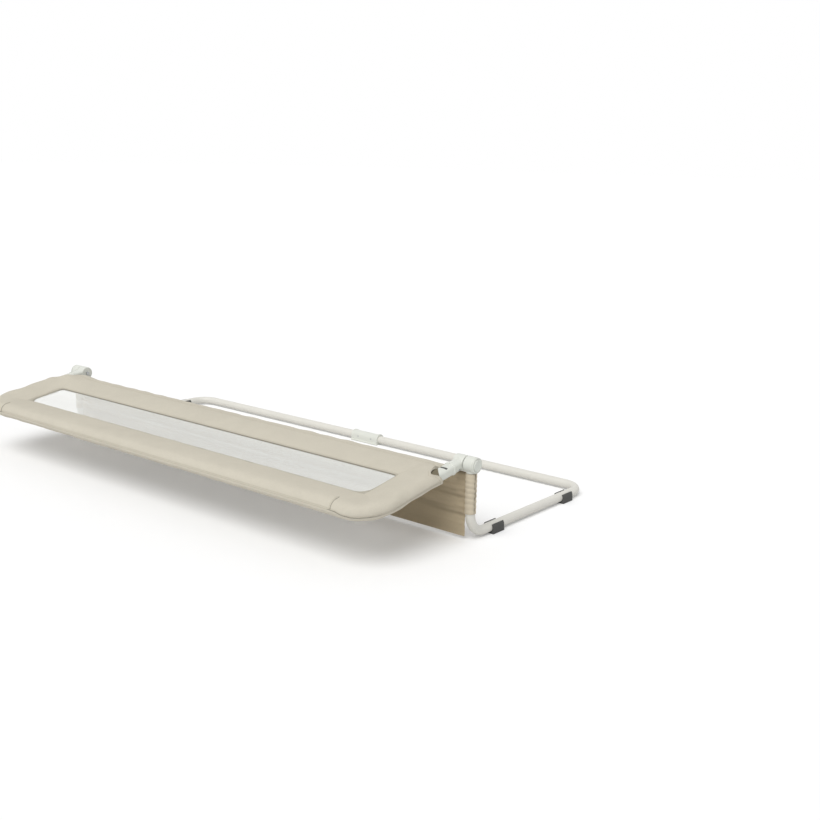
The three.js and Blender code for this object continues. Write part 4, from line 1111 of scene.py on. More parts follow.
    def settle(self, grid: Array) -> Array:
        """Hand-sewn unevenness: long soft waves, more near the corners, and a faintly wandering near edge."""
        x, out, up = np.moveaxis(grid, -1, 0)
        corner = smooth((np.abs(x) - 560.0) / 90.0)
        lift = 0.35 * waves(x / 1000, out / 1000, 11, (2.0, 3.0), (9.0, 9.0))
        pull = waves(x / 1000, out / 1000, 12, (10.0, 6.0), (26.0, 16.0)) * (0.2 + 0.3 * corner)
        face = np.sign(up) * smooth(np.abs(up) / 3.0)
        up = up + (lift + pull) * face * smooth((out - self.near_edge) / 12)
        up = up + self.corner_lift(x, out)
        inner = smooth((np.abs(x) - self.panel_end + 40) / 30)
        edge = 0.35 * waves(x / 1000, up * 0, 13, (5.0, 0.0), (14.0, 0.0)) * (1 - inner)
        out = out + edge * smooth((self.near_edge + 30 - out) / 30)
        return np.stack([x, out, up], axis=-1)

    def seam_lines(self, side: Side) -> list[Array]:
        """The seams of one half, in the guard frame: across the roll at the sock, and along its outer side.

        Both lie on the roll's circle: crest + roll (cos b outward, sin b up), with b falling from just above
        the widest line on the top to below it round the corner.
        """
        _, crest, edge = self.half_loop()
        tilt = np.radians(np.linspace(-35, 84, 22))
        cross = np.stack([np.full_like(tilt, self.sock_seam), self.reach + self.roll * np.sin(tilt),
                          self.roll * np.cos(tilt)], axis=1)
        keep = (crest[:, 1] > self.mouth + 1) & (edge[:, 1] > crest[:, 1] - 1)
        crest, outward = crest[keep], unit((edge - crest)[keep])
        beyond = crest[:, 0] - self.sock_seam
        fall = np.radians(5 - 24 * smooth((beyond + 5) / 60) * smooth(beyond / 30))
        plan = crest + outward * self.roll * np.cos(fall)[:, None]
        along = np.column_stack([plan, self.roll * np.sin(fall)])
        return [line * (side.value, 1.0, 1.0) for line in (cross, even(along, 4.0))]

    def all_seams(self) -> Array:
        """Points of all seams, in metres."""
        return from_guard(np.concatenate([line for side in Side for line in self.seam_lines(side)]))

    def mouth_cut(self, x: Array, up: Array) -> Array:
        """How far out the cut of a mouth lies.

        Over the plan it is level outboard and slanted back towards the panel; it leans further out with
        height, and on the top it has a rounded bulge, where the cloth has slipped back from the arm.
        """
        across = np.abs(x) - self.leg_x
        slant = self.mouth_slant * (across + 4.0)
        bulge = self.mouth_bulge * np.exp(-((across - 7.0) / 7.0) ** 2) * smooth((up - 6.0) / 8.0)
        return self.mouth + (slant - np.sqrt(slant ** 2 + 60.0)) / 2 + self.mouth_lean * up + bulge

    def mouth_tool(self, side: Side) -> Shell:
        """What is cut off a mouth: everything nearer than mouth_cut, as layers of one outline."""
        x = np.linspace(self.panel_end + 0.8, self.leg_x + 40, 60)
        layers = []
        for up in (-40.0, *np.linspace(-20, 20, 21), 40.0):
            cut = self.mouth_cut(x, np.full_like(x, np.clip(up, -22, 22)))
            outline = np.concatenate([np.stack([x, cut], axis=1), [[x[-1], 5.0], [x[0], 5.0]]])
            layers.append(np.column_stack([outline * (side.value, 1.0), np.full(len(outline), up)]))
        return rod_shell(np.array(layers))

    def bore_tool(self, side: Side) -> Shell:
        """The hollow over the arm, narrowing to the hole that the tube comes through."""
        start, wide_end, narrow, end = self.hollow
        profile = filleted([[0, start], [self.bore, start], [self.bore, wide_end], [self.tube_hole, narrow],
                            [self.tube_hole, end], [0, end]], [0, 0, 12, 12, 2, 0], 5)
        return turned(profile, 48, "y", (side.value * self.leg_x, 0, 0))

    def swell(self, obj: bpy.types.Object, grid: Array) -> None:
        """Let the padding press the cloth out between its seams, by a cloth simulation held to a small cap.

        The window's edge, the near hem, the mouths and the seam along the roll are sewn down. A move d gives
        way to d cap / (cap + |d|).
        """
        before = corners_of(obj)
        rows = grid.shape[1]
        middle = rows // 2
        sewn = np.zeros(grid.shape[:2], bool)
        sewn[:, :2] = sewn[:, -2:] = True
        on_roll = grid[:, middle, 1] > self.wall_outer + 20
        sewn[on_roll, middle] = True
        sewn[~on_roll, self.face_rows:rows - self.face_rows] = True
        sewn |= (np.abs(grid[..., 0]) > self.panel_end - 12) & (grid[..., 1] < 84)
        group = obj.vertex_groups.new(name="sewn")
        group.add(np.flatnonzero(sewn.ravel()).tolist(), 1.0, "REPLACE")
        cloth = obj.modifiers.new("padding", "CLOTH")
        cloth.settings.quality = 4
        cloth.settings.vertex_group_mass = group.name
        cloth.settings.use_pressure = True
        cloth.settings.uniform_pressure_force = self.swell_pressure
        cloth.settings.shrink_min = -0.004
        cloth.settings.effector_weights.gravity = 0.0
        cloth.collision_settings.use_collision = False
        scene = bpy.context.scene
        for step in range(1, self.swell_frames + 1):
            scene.frame_set(step)
        keep_result(obj)
        scene.frame_set(1)
        move = corners_of(obj) - before
        size = np.linalg.norm(move, axis=1, keepdims=True)
        cap = self.swell_cap * MM
        move_corners(obj, before + move * cap / (cap + size))
        obj.vertex_groups.clear()
        log.info("cover swelled by up to %.1f mm, held to %.1f mm", size.max() / MM, self.swell_cap)

    def pinch(self, obj: bpy.types.Object) -> None:
        """Draw the cloth in along its seams, against its normal, by depth exp(-(distance / width)^2)."""
        points = corners_of(obj)
        normals = np.empty(3 * len(points), np.float32)
        obj.data.vertices.foreach_get("normal", normals)
        nearest = distances(points, self.all_seams())
        depth = self.seam_depth * MM * np.exp(-(nearest / (self.seam_width * MM)) ** 2)
        move_corners(obj, points - normals.reshape(-1, 3) * depth[:, None])

    def build(self) -> None:
        """Make the cover with its trims and hand it to the frame."""
        grid, flat = self.skin()
        obj = new_object("guard_cover_soft", grid_shell(grid, True, True).moved(from_guard), merge=0.0)
        map_cloth(obj, flat)
        self.swell(obj, grid)
        refine(obj, "SUBSURF", levels=1, render_levels=1)
        self.pinch(obj)
        for side in Side:
            carve(obj, self.mouth_tool(side), self.bore_tool(side), move=from_guard)
        soil(obj, self.shadows(obj))
        add_piece(obj, Body.GUARD, COVER_CLOTH, "cover_fabric", ["guard_cover"], math.radians(50))
        self.trim(Skin(obj), grid)

    def seam_shade(self, x: Array, out: Array) -> Array:
        """How much painted shade a seam gets: deep at the corner sock, faint on the long side and on the
        legs.
        """
        corner = smooth((np.abs(x) - self.sock_seam + 12.0) / 10.0) * smooth((out - 262.0) / 40.0)
        return 0.12 + 0.78 * corner

    def shadows(self, obj: bpy.types.Object) -> Array:
        """The painted shade on the cloth: in the seams, at the window's edge and inside the mouths."""
        points = corners_of(obj)
        seam = distances(points, self.all_seams())
        x, out, up = np.moveaxis(to_guard(points), -1, 0)
        middle, half = (self.window_near + self.window_far) / 2, (self.window_far - self.window_near) / 2
        rim = np.maximum(np.abs(x) - self.window_half, np.abs(out - middle) - half)
        inside = (np.hypot(np.abs(x) - self.leg_x, up) < self.bore + 0.2) & (out < 170) & (out > 50)
        # painted shade: dark lines along the seams and the window's edge, and the mouths' insides nearly at
        # full shade
        dark = self.seam_shade(x, out) * np.exp(-(seam / (1.1 * MM)) ** 2)
        dark += 0.35 * np.exp(-(np.maximum(rim, 0) / 2.5) ** 2)
        return np.maximum(dark, np.where(inside, 0.9, 0.0))

    def trim(self, skin: Skin, grid: Array) -> None:
        """Window piping, the near edge's binding, the mouths' hems and cuffs, seam welts and stitches."""
        window, outer_edge = self.loop()[0], grid[:, grid.shape[1] // 2]
        rim = laid_path(np.column_stack([window, np.zeros(len(window))]), UPWARD, True)
        piping = grid_shell(carried(rim, ring_section(1.0, 10) * self.piping), True, True)
        # painted shade: the piping is drawn darker, most along the window's near side
        self.dress("window_piping", piping.moved(from_guard), BAND_CLOTH,
                   lambda _, out: 0.4 + 0.45 * smooth((150.0 - out) / 20.0))
        near = self.near_steps + self.corner_steps + 4
        edge = np.concatenate([outer_edge[-near:], outer_edge[:near]])
        binding = rod_shell(carried(laid_path(even(edge, 5.0), UPWARD), ring_section(1.0, 12) * self.binding))
        self.dress("near_edge_binding", binding.moved(from_guard), BAND_CLOTH, 0.1)
        thread = []
        for side in Side:
            thread.append(self.mouth_hem(skin, side))
            thread += self.seam_welts(skin, side)
            self.cuff(side)
        thread.append(self.row_on(skin, self.offset_window(4.5), True))
        thread.append(self.row_on(skin, (edge + (0.0, 6.5, 0.0)) * (0.985, 1.0, 1.0)))
        self.dress("cover_stitches", joined(thread), SEAM_THREAD, 0.0)

    def offset_window(self, gap: float) -> Array:
        """The window's outline (x, out), widened by a gap."""
        window, crest, _ = self.loop()
        along = unit(around_loop(window))
        square = np.stack([along[:, 1], -along[:, 0]], axis=1)
        square *= np.sign((square * unit(crest - window)).sum(axis=1, keepdims=True))
        return window + square * gap

    def row_on(self, skin: Skin, line: Array, closed: bool = False) -> Shell:
        """A row of stitches where a line of the plan, held above the cover, falls straight down on it."""
        spots = even(np.column_stack([line[:, :2], np.full(len(line), 40.0)]), 4.6, closed)
        if closed:
            spots = np.concatenate([spots, spots[:1]])
        down = from_guard(-UPWARD) - from_guard(0 * UPWARD)
        places, normals = skin.land(from_guard(spots), np.tile(unit(down), (len(spots), 1)))
        return stitches(places, normals, 3.4, 0.3)

    def mouth_hem(self, skin: Skin, side: Side) -> Shell:
        """The rolled hem round a mouth: a soft cord on the cut edge, as a piece, and its row of stitches.

        Returns:
            The stitches.
        """
        angle = np.linspace(0.0, FULL_TURN, 181)[:-1]
        radius = (self.bore + self.roll) / 2
        x, up = self.leg_x + radius * np.cos(angle), radius * np.sin(angle)
        ring = np.stack([side.value * x, self.mouth_cut(x, up), up], axis=1)
        radial = np.stack([side.value * np.cos(angle), 0 * angle, np.sin(angle)], axis=1)
        path = Path(ring, unit(around_loop(ring)), radial)
        swell = 1 + 0.12 * np.sin(9 * angle) * np.sin(2 * angle + 1)
        cord = carried(path, ring_section(1.0, 12) * self.hem_cord)
        cord = ring[:, None] + (cord - ring[:, None]) * swell[:, None, None]
        hem = grid_shell(cord, True, True).moved(from_guard)
        self.dress(f"mouth_hem_{side.word}", hem, COVER_CLOTH, 0.12)
        outer = ring + radial * 12 + (0.0, 7.0, 0.0)
        keep = np.cos(angle) > -0.35
        order = np.argsort(np.mod(angle[keep] + math.pi, FULL_TURN))
        spots = even(outer[keep][order], 4.2)
        aims = spots * (0, 1, 0) + (side.value * self.leg_x, 0, 0)
        return stitches(*skin.land(from_guard(spots), unit(from_guard(aims) - from_guard(spots))), 3.0, 0.3)

    def seam_welts(self, skin: Skin, side: Side) -> list[Shell]:
        """The welts of one half's seams, laid in their grooves as pieces, and the stitches beside them.

        Returns:
            The stitches of both seams.
        """
        made = []
        for name, line in zip(("sock_seam", "edge_seam"), self.seam_lines(side)):
            centre = from_guard(self.roll_axis(line))
            outside = from_guard(line + (line - self.roll_axis(line)))
            places, normals = skin.land(outside, unit(centre - from_guard(line)))
            path = laid_path(places, normals)
            welt = rod_shell(carried(path, ring_section(self.welt, 8) * MM))
            self.dress(f"{name}_{side.word}", welt, BAND_CLOTH, self.seam_shade)
            beside = places + path.sides * 3.6 * MM * side.value
            row = even(beside - unit(centre - beside) * 20 * MM, 4.4 * MM)
            aims = sampled(centre, np.linspace(0, 1, len(centre)), np.linspace(0, 1, len(row)))
            made.append(stitches(*skin.land(row, unit(aims - row)), 3.0, 0.28))
        return made

    def cuff(self, side: Side) -> None:
        """A cuff inside a mouth, dark to paint the shade in the mouth's hollow: cloth drawn close round the
        arm, its edge slanted across the arm.

        It is the arm's own outline, widened by 0.35 and 0.95 mm for its two faces, with small gathers
        sin(11 a).
        """
        outline = rounded_rectangle(*self.arm_section, 8)
        outline = outline[np.linalg.norm(outline - np.roll(outline, 1, axis=0), axis=1) > 1e-6]
        outward = unit(np.sign(outline) * np.maximum(np.abs(outline) - (5.0, 4.0), 0.0) + 1e-9)
        start = self.cuff_run[0] + 1.14 * outline[:, 0] + 0.25 * outline[:, 1]
        share = np.linspace(0.0, 1.0, 17)[:, None]
        out = start[None] + (self.cuff_run[1] - start[None]) * share
        gather = 0.25 * np.sin(11 * np.arctan2(outline[:, 1], outline[:, 0]))[None] * share
        faces = []
        for gap in self.cuff_gaps:
            wide = outline[None] + outward[None] * (gap + gather)[..., None]
            faces.append(np.stack([self.leg_x + wide[..., 0], out, wide[..., 1]], axis=-1))
        grid = np.concatenate([faces[0], faces[1][::-1]]) * (side.value, 1.0, 1.0)
        self.dress(f"mouth_cuff_{side.word}", grid_shell(grid, True, True).moved(from_guard), CUFF_PAINTED_SHADE, 0.3)

    def roll_axis(self, line: Array) -> Array:
        """The nearest points of the tube's own line, for points on the roll."""
        x, out = np.abs(line[:, 0]), line[:, 1]
        bend_x, bend_out = self.leg_x - self.bend, self.reach - self.bend
        radial = np.stack([np.maximum(x - bend_x, 0), np.maximum(out - bend_out, 0)], axis=1)
        turn = radial / np.maximum(np.linalg.norm(radial, axis=1, keepdims=True), 1e-9)
        in_bend = (x > bend_x) & (out > bend_out)
        axis_x = np.where(in_bend, bend_x + self.bend * turn[:, 0], np.where(x > bend_x, self.leg_x, x))
        axis_out = np.where(in_bend, bend_out + self.bend * turn[:, 1], np.where(x > bend_x, out, self.reach))
        return np.stack([axis_x * np.sign(line[:, 0]), axis_out, np.zeros(len(line))], axis=1)

    def dress(self, name: str, shell: Shell, finish: Finish,
              dark: float | Callable[[Array, Array], Array]) -> None:
        """Make a trim that rides with the cover, with as much painted shade as a number or a formula over (x,
        out) says.
        """
        obj = new_object(name, shell)
        plan = to_guard(corners_of(obj))[:, :2]
        map_cloth(obj, plan * MM)
        soil(obj, dark(*plan.T) if callable(dark) else np.full(len(plan), dark))
        add_piece(obj, Body.GUARD, finish, "cover_fabric", sharp=math.radians(70))


# ---------------------------------------------------------------- the net

@dataclass
class NetWindow:
    """The net that is sewn into the window."""

    cover: GuardCover
    tuck: float = 4.0
    thickness: float = 0.5
    sag: float = 1.6
    fold: float = 0.9
    ripple: float = 0.16
    columns: int = 240
    rows: int = 26

    def build(self) -> None:
        """Make the net, between the window's near and far line, with a slight sag and slack ripples."""
        cover = self.cover
        half = cover.window_half + self.tuck
        near, far = cover.window_near - self.tuck, cover.window_far + self.tuck
        u = np.linspace(-1.0, 1.0, self.columns + 1)[:, None]
        v = np.linspace(0.0, 1.0, self.rows + 1)[None, :]
        crowded = math.pi / 2 * 0.9
        x = half * np.sin(u * crowded) / math.sin(crowded) * np.ones_like(v)

        def corner(radius: float) -> Array:
            """How far a rounded corner draws the net's line in at each x."""
            inside = np.clip(np.abs(x) - (half - radius), 0.0, radius)
            return radius - np.sqrt(np.maximum(radius ** 2 - inside ** 2, 0.0))

        low = near + corner(cover.near_corner + self.tuck)
        high = far - corner(cover.far_corner + self.tuck)
        out = low + (high - low) * v
        ripple = self.ripple * waves(x / 1000, out / 1000, 21, (0.6, 6.0), (2.5, 14.0))
        fold = self.fold * np.exp(-((v - 0.42 - 0.03 * np.sin(5 * u)) / 0.07) ** 2)
        up = np.sin(math.pi * v) * (1 - u ** 8) * (ripple + fold - self.sag)
        obj = new_object("net_window_soft", grid_shell(np.stack([x, out, up], axis=-1)).moved(from_guard))
        map_cloth(obj, np.stack([x, out], axis=-1) * MM)
        thicken(obj, self.thickness)
        add_piece(obj, Body.GUARD, NET_CLOTH, "net_fabric", ["mesh_window"])


# ---------------------------------------------------------------- skirt, sleeves and flap

@dataclass
class LooseCloth:
    """The skirt between the uprights, the sleeves round them and the flap that joins the skirt to the cover.

    Sizes are in the hinge frame, in millimetres.
    """

    cover: GuardCover
    upright_x: float = 732.5
    top: float = -19.1
    skirt_half: float = 718.6
    skirt_drop: float = 148.0
    skirt_folds: float = 3.5
    fold_depth: float = 2.6
    end_pleats: int = 11
    sleeve_bottom: float = -110.5
    sleeve_radius: float = 12.2
    sleeve_rings: float = 6.5
    crease_turn: float = math.radians(-8)
    crease_depth: float = 0.7
    flap_half: float = 680.9
    flap_reach: float = 39.6
    cloth: float = 1.0
    thin_cloth: float = 0.8

    def skirt(self) -> None:
        """The skirt: folds that run along the rail, deepest half way down, drifting a little sideways."""
        crowded = 1.35
        u, v = np.meshgrid(np.sin(np.linspace(-1, 1, 281) * crowded) / math.sin(crowded),
                           np.linspace(0, 1, 101), indexing="ij")
        drift = 0.5 * np.sin(math.pi * u) + 0.35 * waves(u, v, 31, (0.5, 0.0), (2.5, 0.6))
        held = np.sin(math.pi * v) ** 0.8
        fold = np.sin(FULL_TURN * self.skirt_folds * v + drift) * held
        gather = smooth((np.abs(u) - 0.93) / 0.07)
        crumple = waves(u * 8, v, 32, (1.0, 2.0), (3.0, 5.0)) * gather * held
        near_end = smooth((np.abs(u) - 0.8) / 0.18)
        pleat = np.sin(FULL_TURN * self.end_pleats * v + 1.5 * drift + 6 * u)
        pleat = pleat * held * near_end * (1 - 0.5 * v)
        y = self.fold_depth * fold * (1 - 0.5 * near_end) + 0.5 * crumple + pleat
        grid = np.stack([self.skirt_half * u, y, self.top - 0.4 - self.skirt_drop * v], axis=-1)
        obj = new_object("cover_skirt_soft", grid_shell(grid).moved(from_hinge))
        length = lengths(grid, axis=1)
        map_cloth(obj, np.stack([grid[..., 0], length], axis=-1) * MM)
        thicken(obj, self.cloth)
        x, depth, height = (corners_of(obj) / MM - (0.0, HINGE_Y, HINGE_Z)).T
        # painted shade: darker in the fold valleys, more so towards the ends, and along the top under the
        # hinge and the cover
        end = smooth((np.abs(x) / self.skirt_half - 0.72) / 0.25)
        valley = smooth((depth + 0.6) / 2.4) * (0.04 + 0.4 * end)
        soil(obj, valley + (0.3 + 0.6 * end) * smooth((height - self.top + 11.0) / 10.0))
        add_piece(obj, Body.BASE, SKIRT_CLOTH, "skirt_fabric", ["cover_skirt"])

    def sleeve(self, side: Side) -> None:
        """A sleeve: a tube of cloth pushed into rings, each ring a little tilted, with one crease down it."""
        a, v = np.meshgrid(np.linspace(0, FULL_TURN, 65)[:-1], np.linspace(0, 1, 91), indexing="ij")
        tilt = 0.9 * np.sin(a + 1.0) + 0.4 * np.sin(2 * a)
        ring = np.sin(FULL_TURN * self.sleeve_rings * v * (1 + 0.2 * v) + tilt)
        around = np.mod(a + math.pi, FULL_TURN) - math.pi
        crease = self.crease_depth * np.exp(-((around - self.crease_turn) / 0.15) ** 2)
        radius = self.sleeve_radius + 0.5 * ring * np.sin(math.pi * np.clip(v * 1.05, 0, 1)) ** 0.4 - crease
        z = self.sleeve_bottom + (self.top - self.sleeve_bottom) * v
        x = side.value * self.upright_x + radius * np.cos(a) * side.value
        grid = np.stack([x, radius * np.sin(a), z], axis=-1)
        obj = new_object(f"upright_sleeve_soft_{side.word}", grid_shell(grid, True, False).moved(from_hinge))
        map_cloth(obj, np.stack([a * self.sleeve_radius, z], axis=-1) * MM)
        thicken(obj, self.thin_cloth)
        x, y, height = (corners_of(obj) / MM - (side.value * self.upright_x, HINGE_Y, HINGE_Z)).T
        # painted shade: darker in the valleys between the rings, and a wandering dark line down the crease
        valley = smooth((self.sleeve_radius - np.hypot(x, y)) / 0.8 + 0.35)
        wander = 0.1 * waves(height / 100, height * 0, 34, (1.0, 0.0), (3.0, 0.0))
        dark = np.exp(-((np.arctan2(y, side.value * x) + wander - self.crease_turn) / 0.12) ** 2)
        dark = dark * (0.7 + 0.5 * waves(height / 100, height * 0, 33, (1.0, 0.0), (4.0, 0.0)))
        soil(obj, 0.4 * valley + np.maximum(dark, 0.0))
        add_piece(obj, Body.BASE, SLEEVE_CLOTH, "cover_fabric", [f"upright_sleeve_{side.word}"])

    def flap(self) -> None:
        """The flap: up from the skirt, over the hinge line and out to the cover's near edge, as a soft bend.

        Its section is the curve (1 - v)^2 start + 2 v (1 - v) knee + v^2 end, with a ripple between its ends.
        """
        reach = self.flap_reach
        start, knee = np.array([-2.6, -20.6]), np.array([-4.5, -4.0])
        end = np.array([-reach * REST_COS, -reach * REST_SIN - 0.5])
        v = np.linspace(0, 1, 33)[:, None]
        line = (1 - v) ** 2 * start + 2 * v * (1 - v) * knee + v ** 2 * end
        u, v = np.meshgrid(np.linspace(-1, 1, 281), v[:, 0], indexing="ij")
        lift = 0.35 * waves(u, v, 41, (3.0, 0.0), (12.0, 0.7)) * np.sin(math.pi * v)
        raised = self.cover.corner_lift(self.flap_half * u, np.full_like(u, reach)) * smooth(v * 1.1)
        grid = np.stack([self.flap_half * u, line[:, 0] + 0.3 * lift, line[:, 1] + lift + raised], axis=-1)
        obj = new_object("hinge_flap_soft", grid_shell(grid).moved(from_hinge))
        length = lengths(line)
        map_cloth(obj, np.stack([grid[..., 0], length * np.ones_like(u)], axis=-1) * MM)
        thicken(obj, self.cloth)
        soil(obj, np.zeros(len(obj.data.vertices)))
        smooth_shade(obj)
        WARDROBE.give(obj, COVER_CLOTH)
        ends = from_hinge(np.array([[0, start[0], start[1] + 6], [0, -20 * REST_COS, -20 * REST_SIN]]))
        tuple(ends[0])
        tuple(ends[1])
        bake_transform(obj)
        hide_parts("hinge_flap")


# ---------------------------------------------------------------- the hinges

@dataclass
class Hinge:
    """One hinge of the right side: arm shells, a dark strip that paints the shade in the arm's slot, screw,
    bracket, bezel and button.

    The left one is its mirror image. Arm, shade strip and screw are made in the guard frame, the rest in the
    hinge frame, in millimetres.
    """

    hub: float = 18.0
    hub_edge: float = 3.0
    arm_x: tuple[float, float] = (691.0, 718.8)
    leg_x: float = 704.9
    barrel_x: tuple[float, float] = (720.0, 745.0)
    upright_x: float = 732.5
    bolt_hole: float = 2.8
    arm_width: float = 26.0
    arm_thickness: float = 24.0
    arm_corner: float = 8.0
    arm_length: float = 95.0
    rim: tuple[float, float] = (38.6, 43.0)
    rim_rise: float = 1.9
    socket: float = 10.3
    socket_out: float = 50.0
    slot_out: float = 64.6
    slot: tuple[float, float] = (25.6, 7.2)
    slot_shift: float = -2.6
    slot_corner: float = 1.2
    slot_floor: float = 5.4
    arm_bore: float = 15.4
    screw_at: tuple[float, float, float] = (0.0, 25.5, -6.5)
    screw_hole: float = 3.2
    screw_head: float = 2.9
    screw_shank: float = 1.5
    parting: float = 0.3
    neck: float = 12.2
    neck_z: float = -18.5
    spigot: float = 9.2
    spigot_z: float = -58.5
    spigot_bore: float = 6.7
    barrel_bore: float = 15.0
    bezel: float = 17.6
    bezel_spigot: float = 14.7
    bezel_groove: tuple[float, float] = (15.2, 15.9)
    button: float = 13.1
    button_flange: float = 14.6
    button_wall: float = 11.0
    prong: tuple[float, float] = (9.1, 12.7)
    prong_turn: float = math.radians(49.6)
    prong_spread: float = math.radians(16)
    prong_tip: float = 725.2
    face_x: float = 750.0
    pin_z: float = -38.8
    pin_hole: float = 2.3
    sides: int = 72
    voxel: float = 0.5

    def barrel(self, start: float, end: float) -> Shell:
        """A drum along X whose rims are rounded."""
        profile = filleted([[0, start], [self.hub, start], [self.hub, end], [0, end]],
                           [0, self.hub_edge, self.hub_edge, 0], 8)
        return turned(profile, self.sides, "x")

    def arms(self) -> list[bpy.types.Object]:
        """Both shells of the arm, parted in the plane of the leg's axis."""
        outline, wide = (rounded_rectangle(self.arm_width + 2 * rise, self.arm_thickness + 2 * rise,
                                           self.arm_corner + rise) for rise in (0, self.rim_rise))
        centre = (self.leg_x, 0, 0)
        whole = moulded("arm_whole", [
            self.barrel(*self.arm_x),
            extruded(outline, 0.0, self.arm_length, "y", centre),
            extruded(wide, self.rim[0], self.rim[1], "y", centre),
        ], self.voxel, 2)
        half = self.arm_width / 2
        slot = rounded_rectangle(*self.slot, self.slot_corner, 4)
        carve(
            whole,
            rod(self.arm_bore, self.arm_x[0] + 4, self.arm_x[1] + 2, "x"),
            rod(self.bolt_hole, self.arm_x[0] - 2, self.arm_x[1] + 2, "x"),
            rod(self.socket, self.socket_out, self.arm_length + 2, "y", centre, 48),
            extruded(slot, self.slot_floor, self.arm_thickness, "z",
                     (self.leg_x + self.slot_shift, self.slot_out, 0)),
            rod(self.screw_hole, self.leg_x + half - 2, self.leg_x + half + 4, "x", self.screw_at),
        )
        shells = []
        for word, sign in (("inner", -1), ("outer", 1)):
            shell = linked(f"arm_shell_{word}_soft_right", whole.data.copy())
            square = rounded_rectangle(60, 260, 1.0, 1)[:, ::-1]
            near, far = sorted((self.leg_x + sign * self.parting / 2, self.leg_x + sign * 40))
            carve(shell, extruded(square, near, far, "x"), operation="INTERSECT")
            place(shell, from_guard)
            shells.append(shell)
        bpy.data.objects.remove(whole)
        return shells

    def bracket(self) -> bpy.types.Object:
        """The fixed hub on its neck, with the spigot that stands in the upright."""
        at, wide, low = (self.upright_x, 0, 0), self.neck, self.neck_z
        neck = filleted([[0, low], [wide, low], [wide, -12], [wide, 0], [0, 0]], [0, 1.0, 0, 0, 0], 4)
        obj = moulded("hinge_bracket_soft_right", [
            self.barrel(*self.barrel_x),
            turned(neck, self.sides, "z", at),
            rod(self.spigot, self.spigot_z, -10.0, "z", at, 48),
        ], self.voxel, 3)
        carve(
            obj,
            rod(self.barrel_bore, self.barrel_x[0] + 6, self.barrel_x[1] + 3, "x", sides=64),
            rod(self.bolt_hole, self.barrel_x[0] - 3, self.barrel_x[1], "x"),
            rod(self.spigot_bore, self.spigot_z - 3.5, low + 0.1, "z", at),
            rod(self.pin_hole, -14.0, 14.0, "y", (self.upright_x, 0, self.pin_z)),
        )
        place(obj, from_hinge)
        return obj

    def bezel_ring(self) -> bpy.types.Object:
        """The ring round the button: a rounded flange with a shallow groove, and a spigot behind it."""
        bore, end, back = self.button + 0.3, self.face_x - 2, self.barrel_x[1]
        spigot, (low, high) = self.bezel_spigot, self.bezel_groove
        profile = filleted([
            [bore, back - 5], [spigot, back - 5], [spigot, back + 0.3], [self.bezel, back + 0.3],
            [self.bezel, end], [high, end], [high, end - 0.5], [low, end - 0.5], [low, end], [bore, end],
            [bore, back - 5],
        ], [0, 0.3, 0, 0.3, 1.3, 0.25, 0.15, 0.15, 0.25, 0.5, 0], 6)
        ring = turned(profile[:-1], 96, "x", closed=True)
        return new_object("hub_bezel_soft_right", ring.moved(from_hinge))

    def lock_button(self) -> bpy.types.Object:
        """The push button: a dished face, a flange behind the bezel, and two prongs towards the lock ring."""
        face, radius, wall, rim = self.face_x, self.button, self.button_wall, self.button_flange
        flange = self.barrel_x[1] - 5.3
        profile = filleted([
            [0, face - 0.9], [radius - 3.2, face - 0.9], [radius - 2.4, face], [radius, face],
            [radius, flange], [rim, flange], [rim, flange - 3], [radius, flange - 3],
            [radius, face - 16], [wall, face - 16], [wall, face - 2.4], [0, face - 2.4],
        ], [0, 1.5, 0.6, 1.3, 0, 0.3, 0.3, 0, 0.2, 0.2, 0.5, 0], 6)
        obj = new_object("lock_button_soft_right", turned(profile, 96, "x").moved(in_metres))
        (inner, outer), spread = self.prong, self.prong_spread
        for middle in (math.pi - self.prong_turn, FULL_TURN - self.prong_turn):
            outline = np.concatenate([arc_points((0, 0), outer, middle - spread, middle + spread, 8),
                                      arc_points((0, 0), inner, middle + spread, middle - spread, 8)])
            carve(obj, extruded(outline, self.prong_tip, face - 14, "x"), operation="UNION")
        place(obj, from_hinge)
        return obj

    def screw(self) -> bpy.types.Object:
        """The arm's screw: a domed head with a cross in it, on a plain shank."""
        top, head, shank = self.leg_x + self.arm_width / 2 + 0.1, self.screw_head, self.screw_shank
        profile = filleted([[0, top], [1.6, top - 0.1], [head, top - 0.8], [head, top - 2], [shank, top - 2],
                            [shank, top - 18], [0, top - 18]], [0, 0.8, 0.5, 0.2, 0, 0.3, 0], 5)
        obj = new_object("arm_screw_soft_right", turned(profile, 32, "x", self.screw_at).moved(in_metres))
        for wide, high in ((2.9, 0.55), (0.55, 2.9)):
            bar = np.array([[-wide, -high], [wide, -high], [wide, high], [-wide, high]]) / 2
            carve(obj, extruded(bar, top - 0.9, top + 1, "x", self.screw_at))
        place(obj, from_guard)
        return obj

    def slot_seal(self) -> bpy.types.Object:
        """A dark strip in the arm's slot that paints the shade down in it: it follows the arm's outline 1.0
        to 1.6 mm below the surface.
        """
        rows = []
        for sink in (1.0, 1.6):
            loop = rounded_rectangle(self.arm_width - 2 * sink, self.arm_thickness - 2 * sink,
                                     self.arm_corner - sink, 16)
            strip = loop[(loop[:, 1] > 4.6) & (loop[:, 0] < self.slot[0] / 2 + self.slot_shift)]
            rows.append(strip[np.argsort(np.arctan2(strip[:, 1], strip[:, 0]))])
        count = min(len(row) for row in rows)
        half = (self.slot[1] + 0.6) / 2
        outs = (self.slot_out - half, self.slot_out + half)
        grid = np.array([np.column_stack([self.leg_x + rows[b][:count, 0], np.full(count, outs[a]),
                                          rows[b][:count, 1]]) for a, b in ((0, 0), (0, 1), (1, 1), (1, 0))])
        shell = grid_shell(grid, True, False)
        shell.faces += [[count * k for k in range(4)], [count * k + count - 1 for k in (3, 2, 1, 0)]]
        return new_object("slot_seal_right", shell.moved(from_guard))

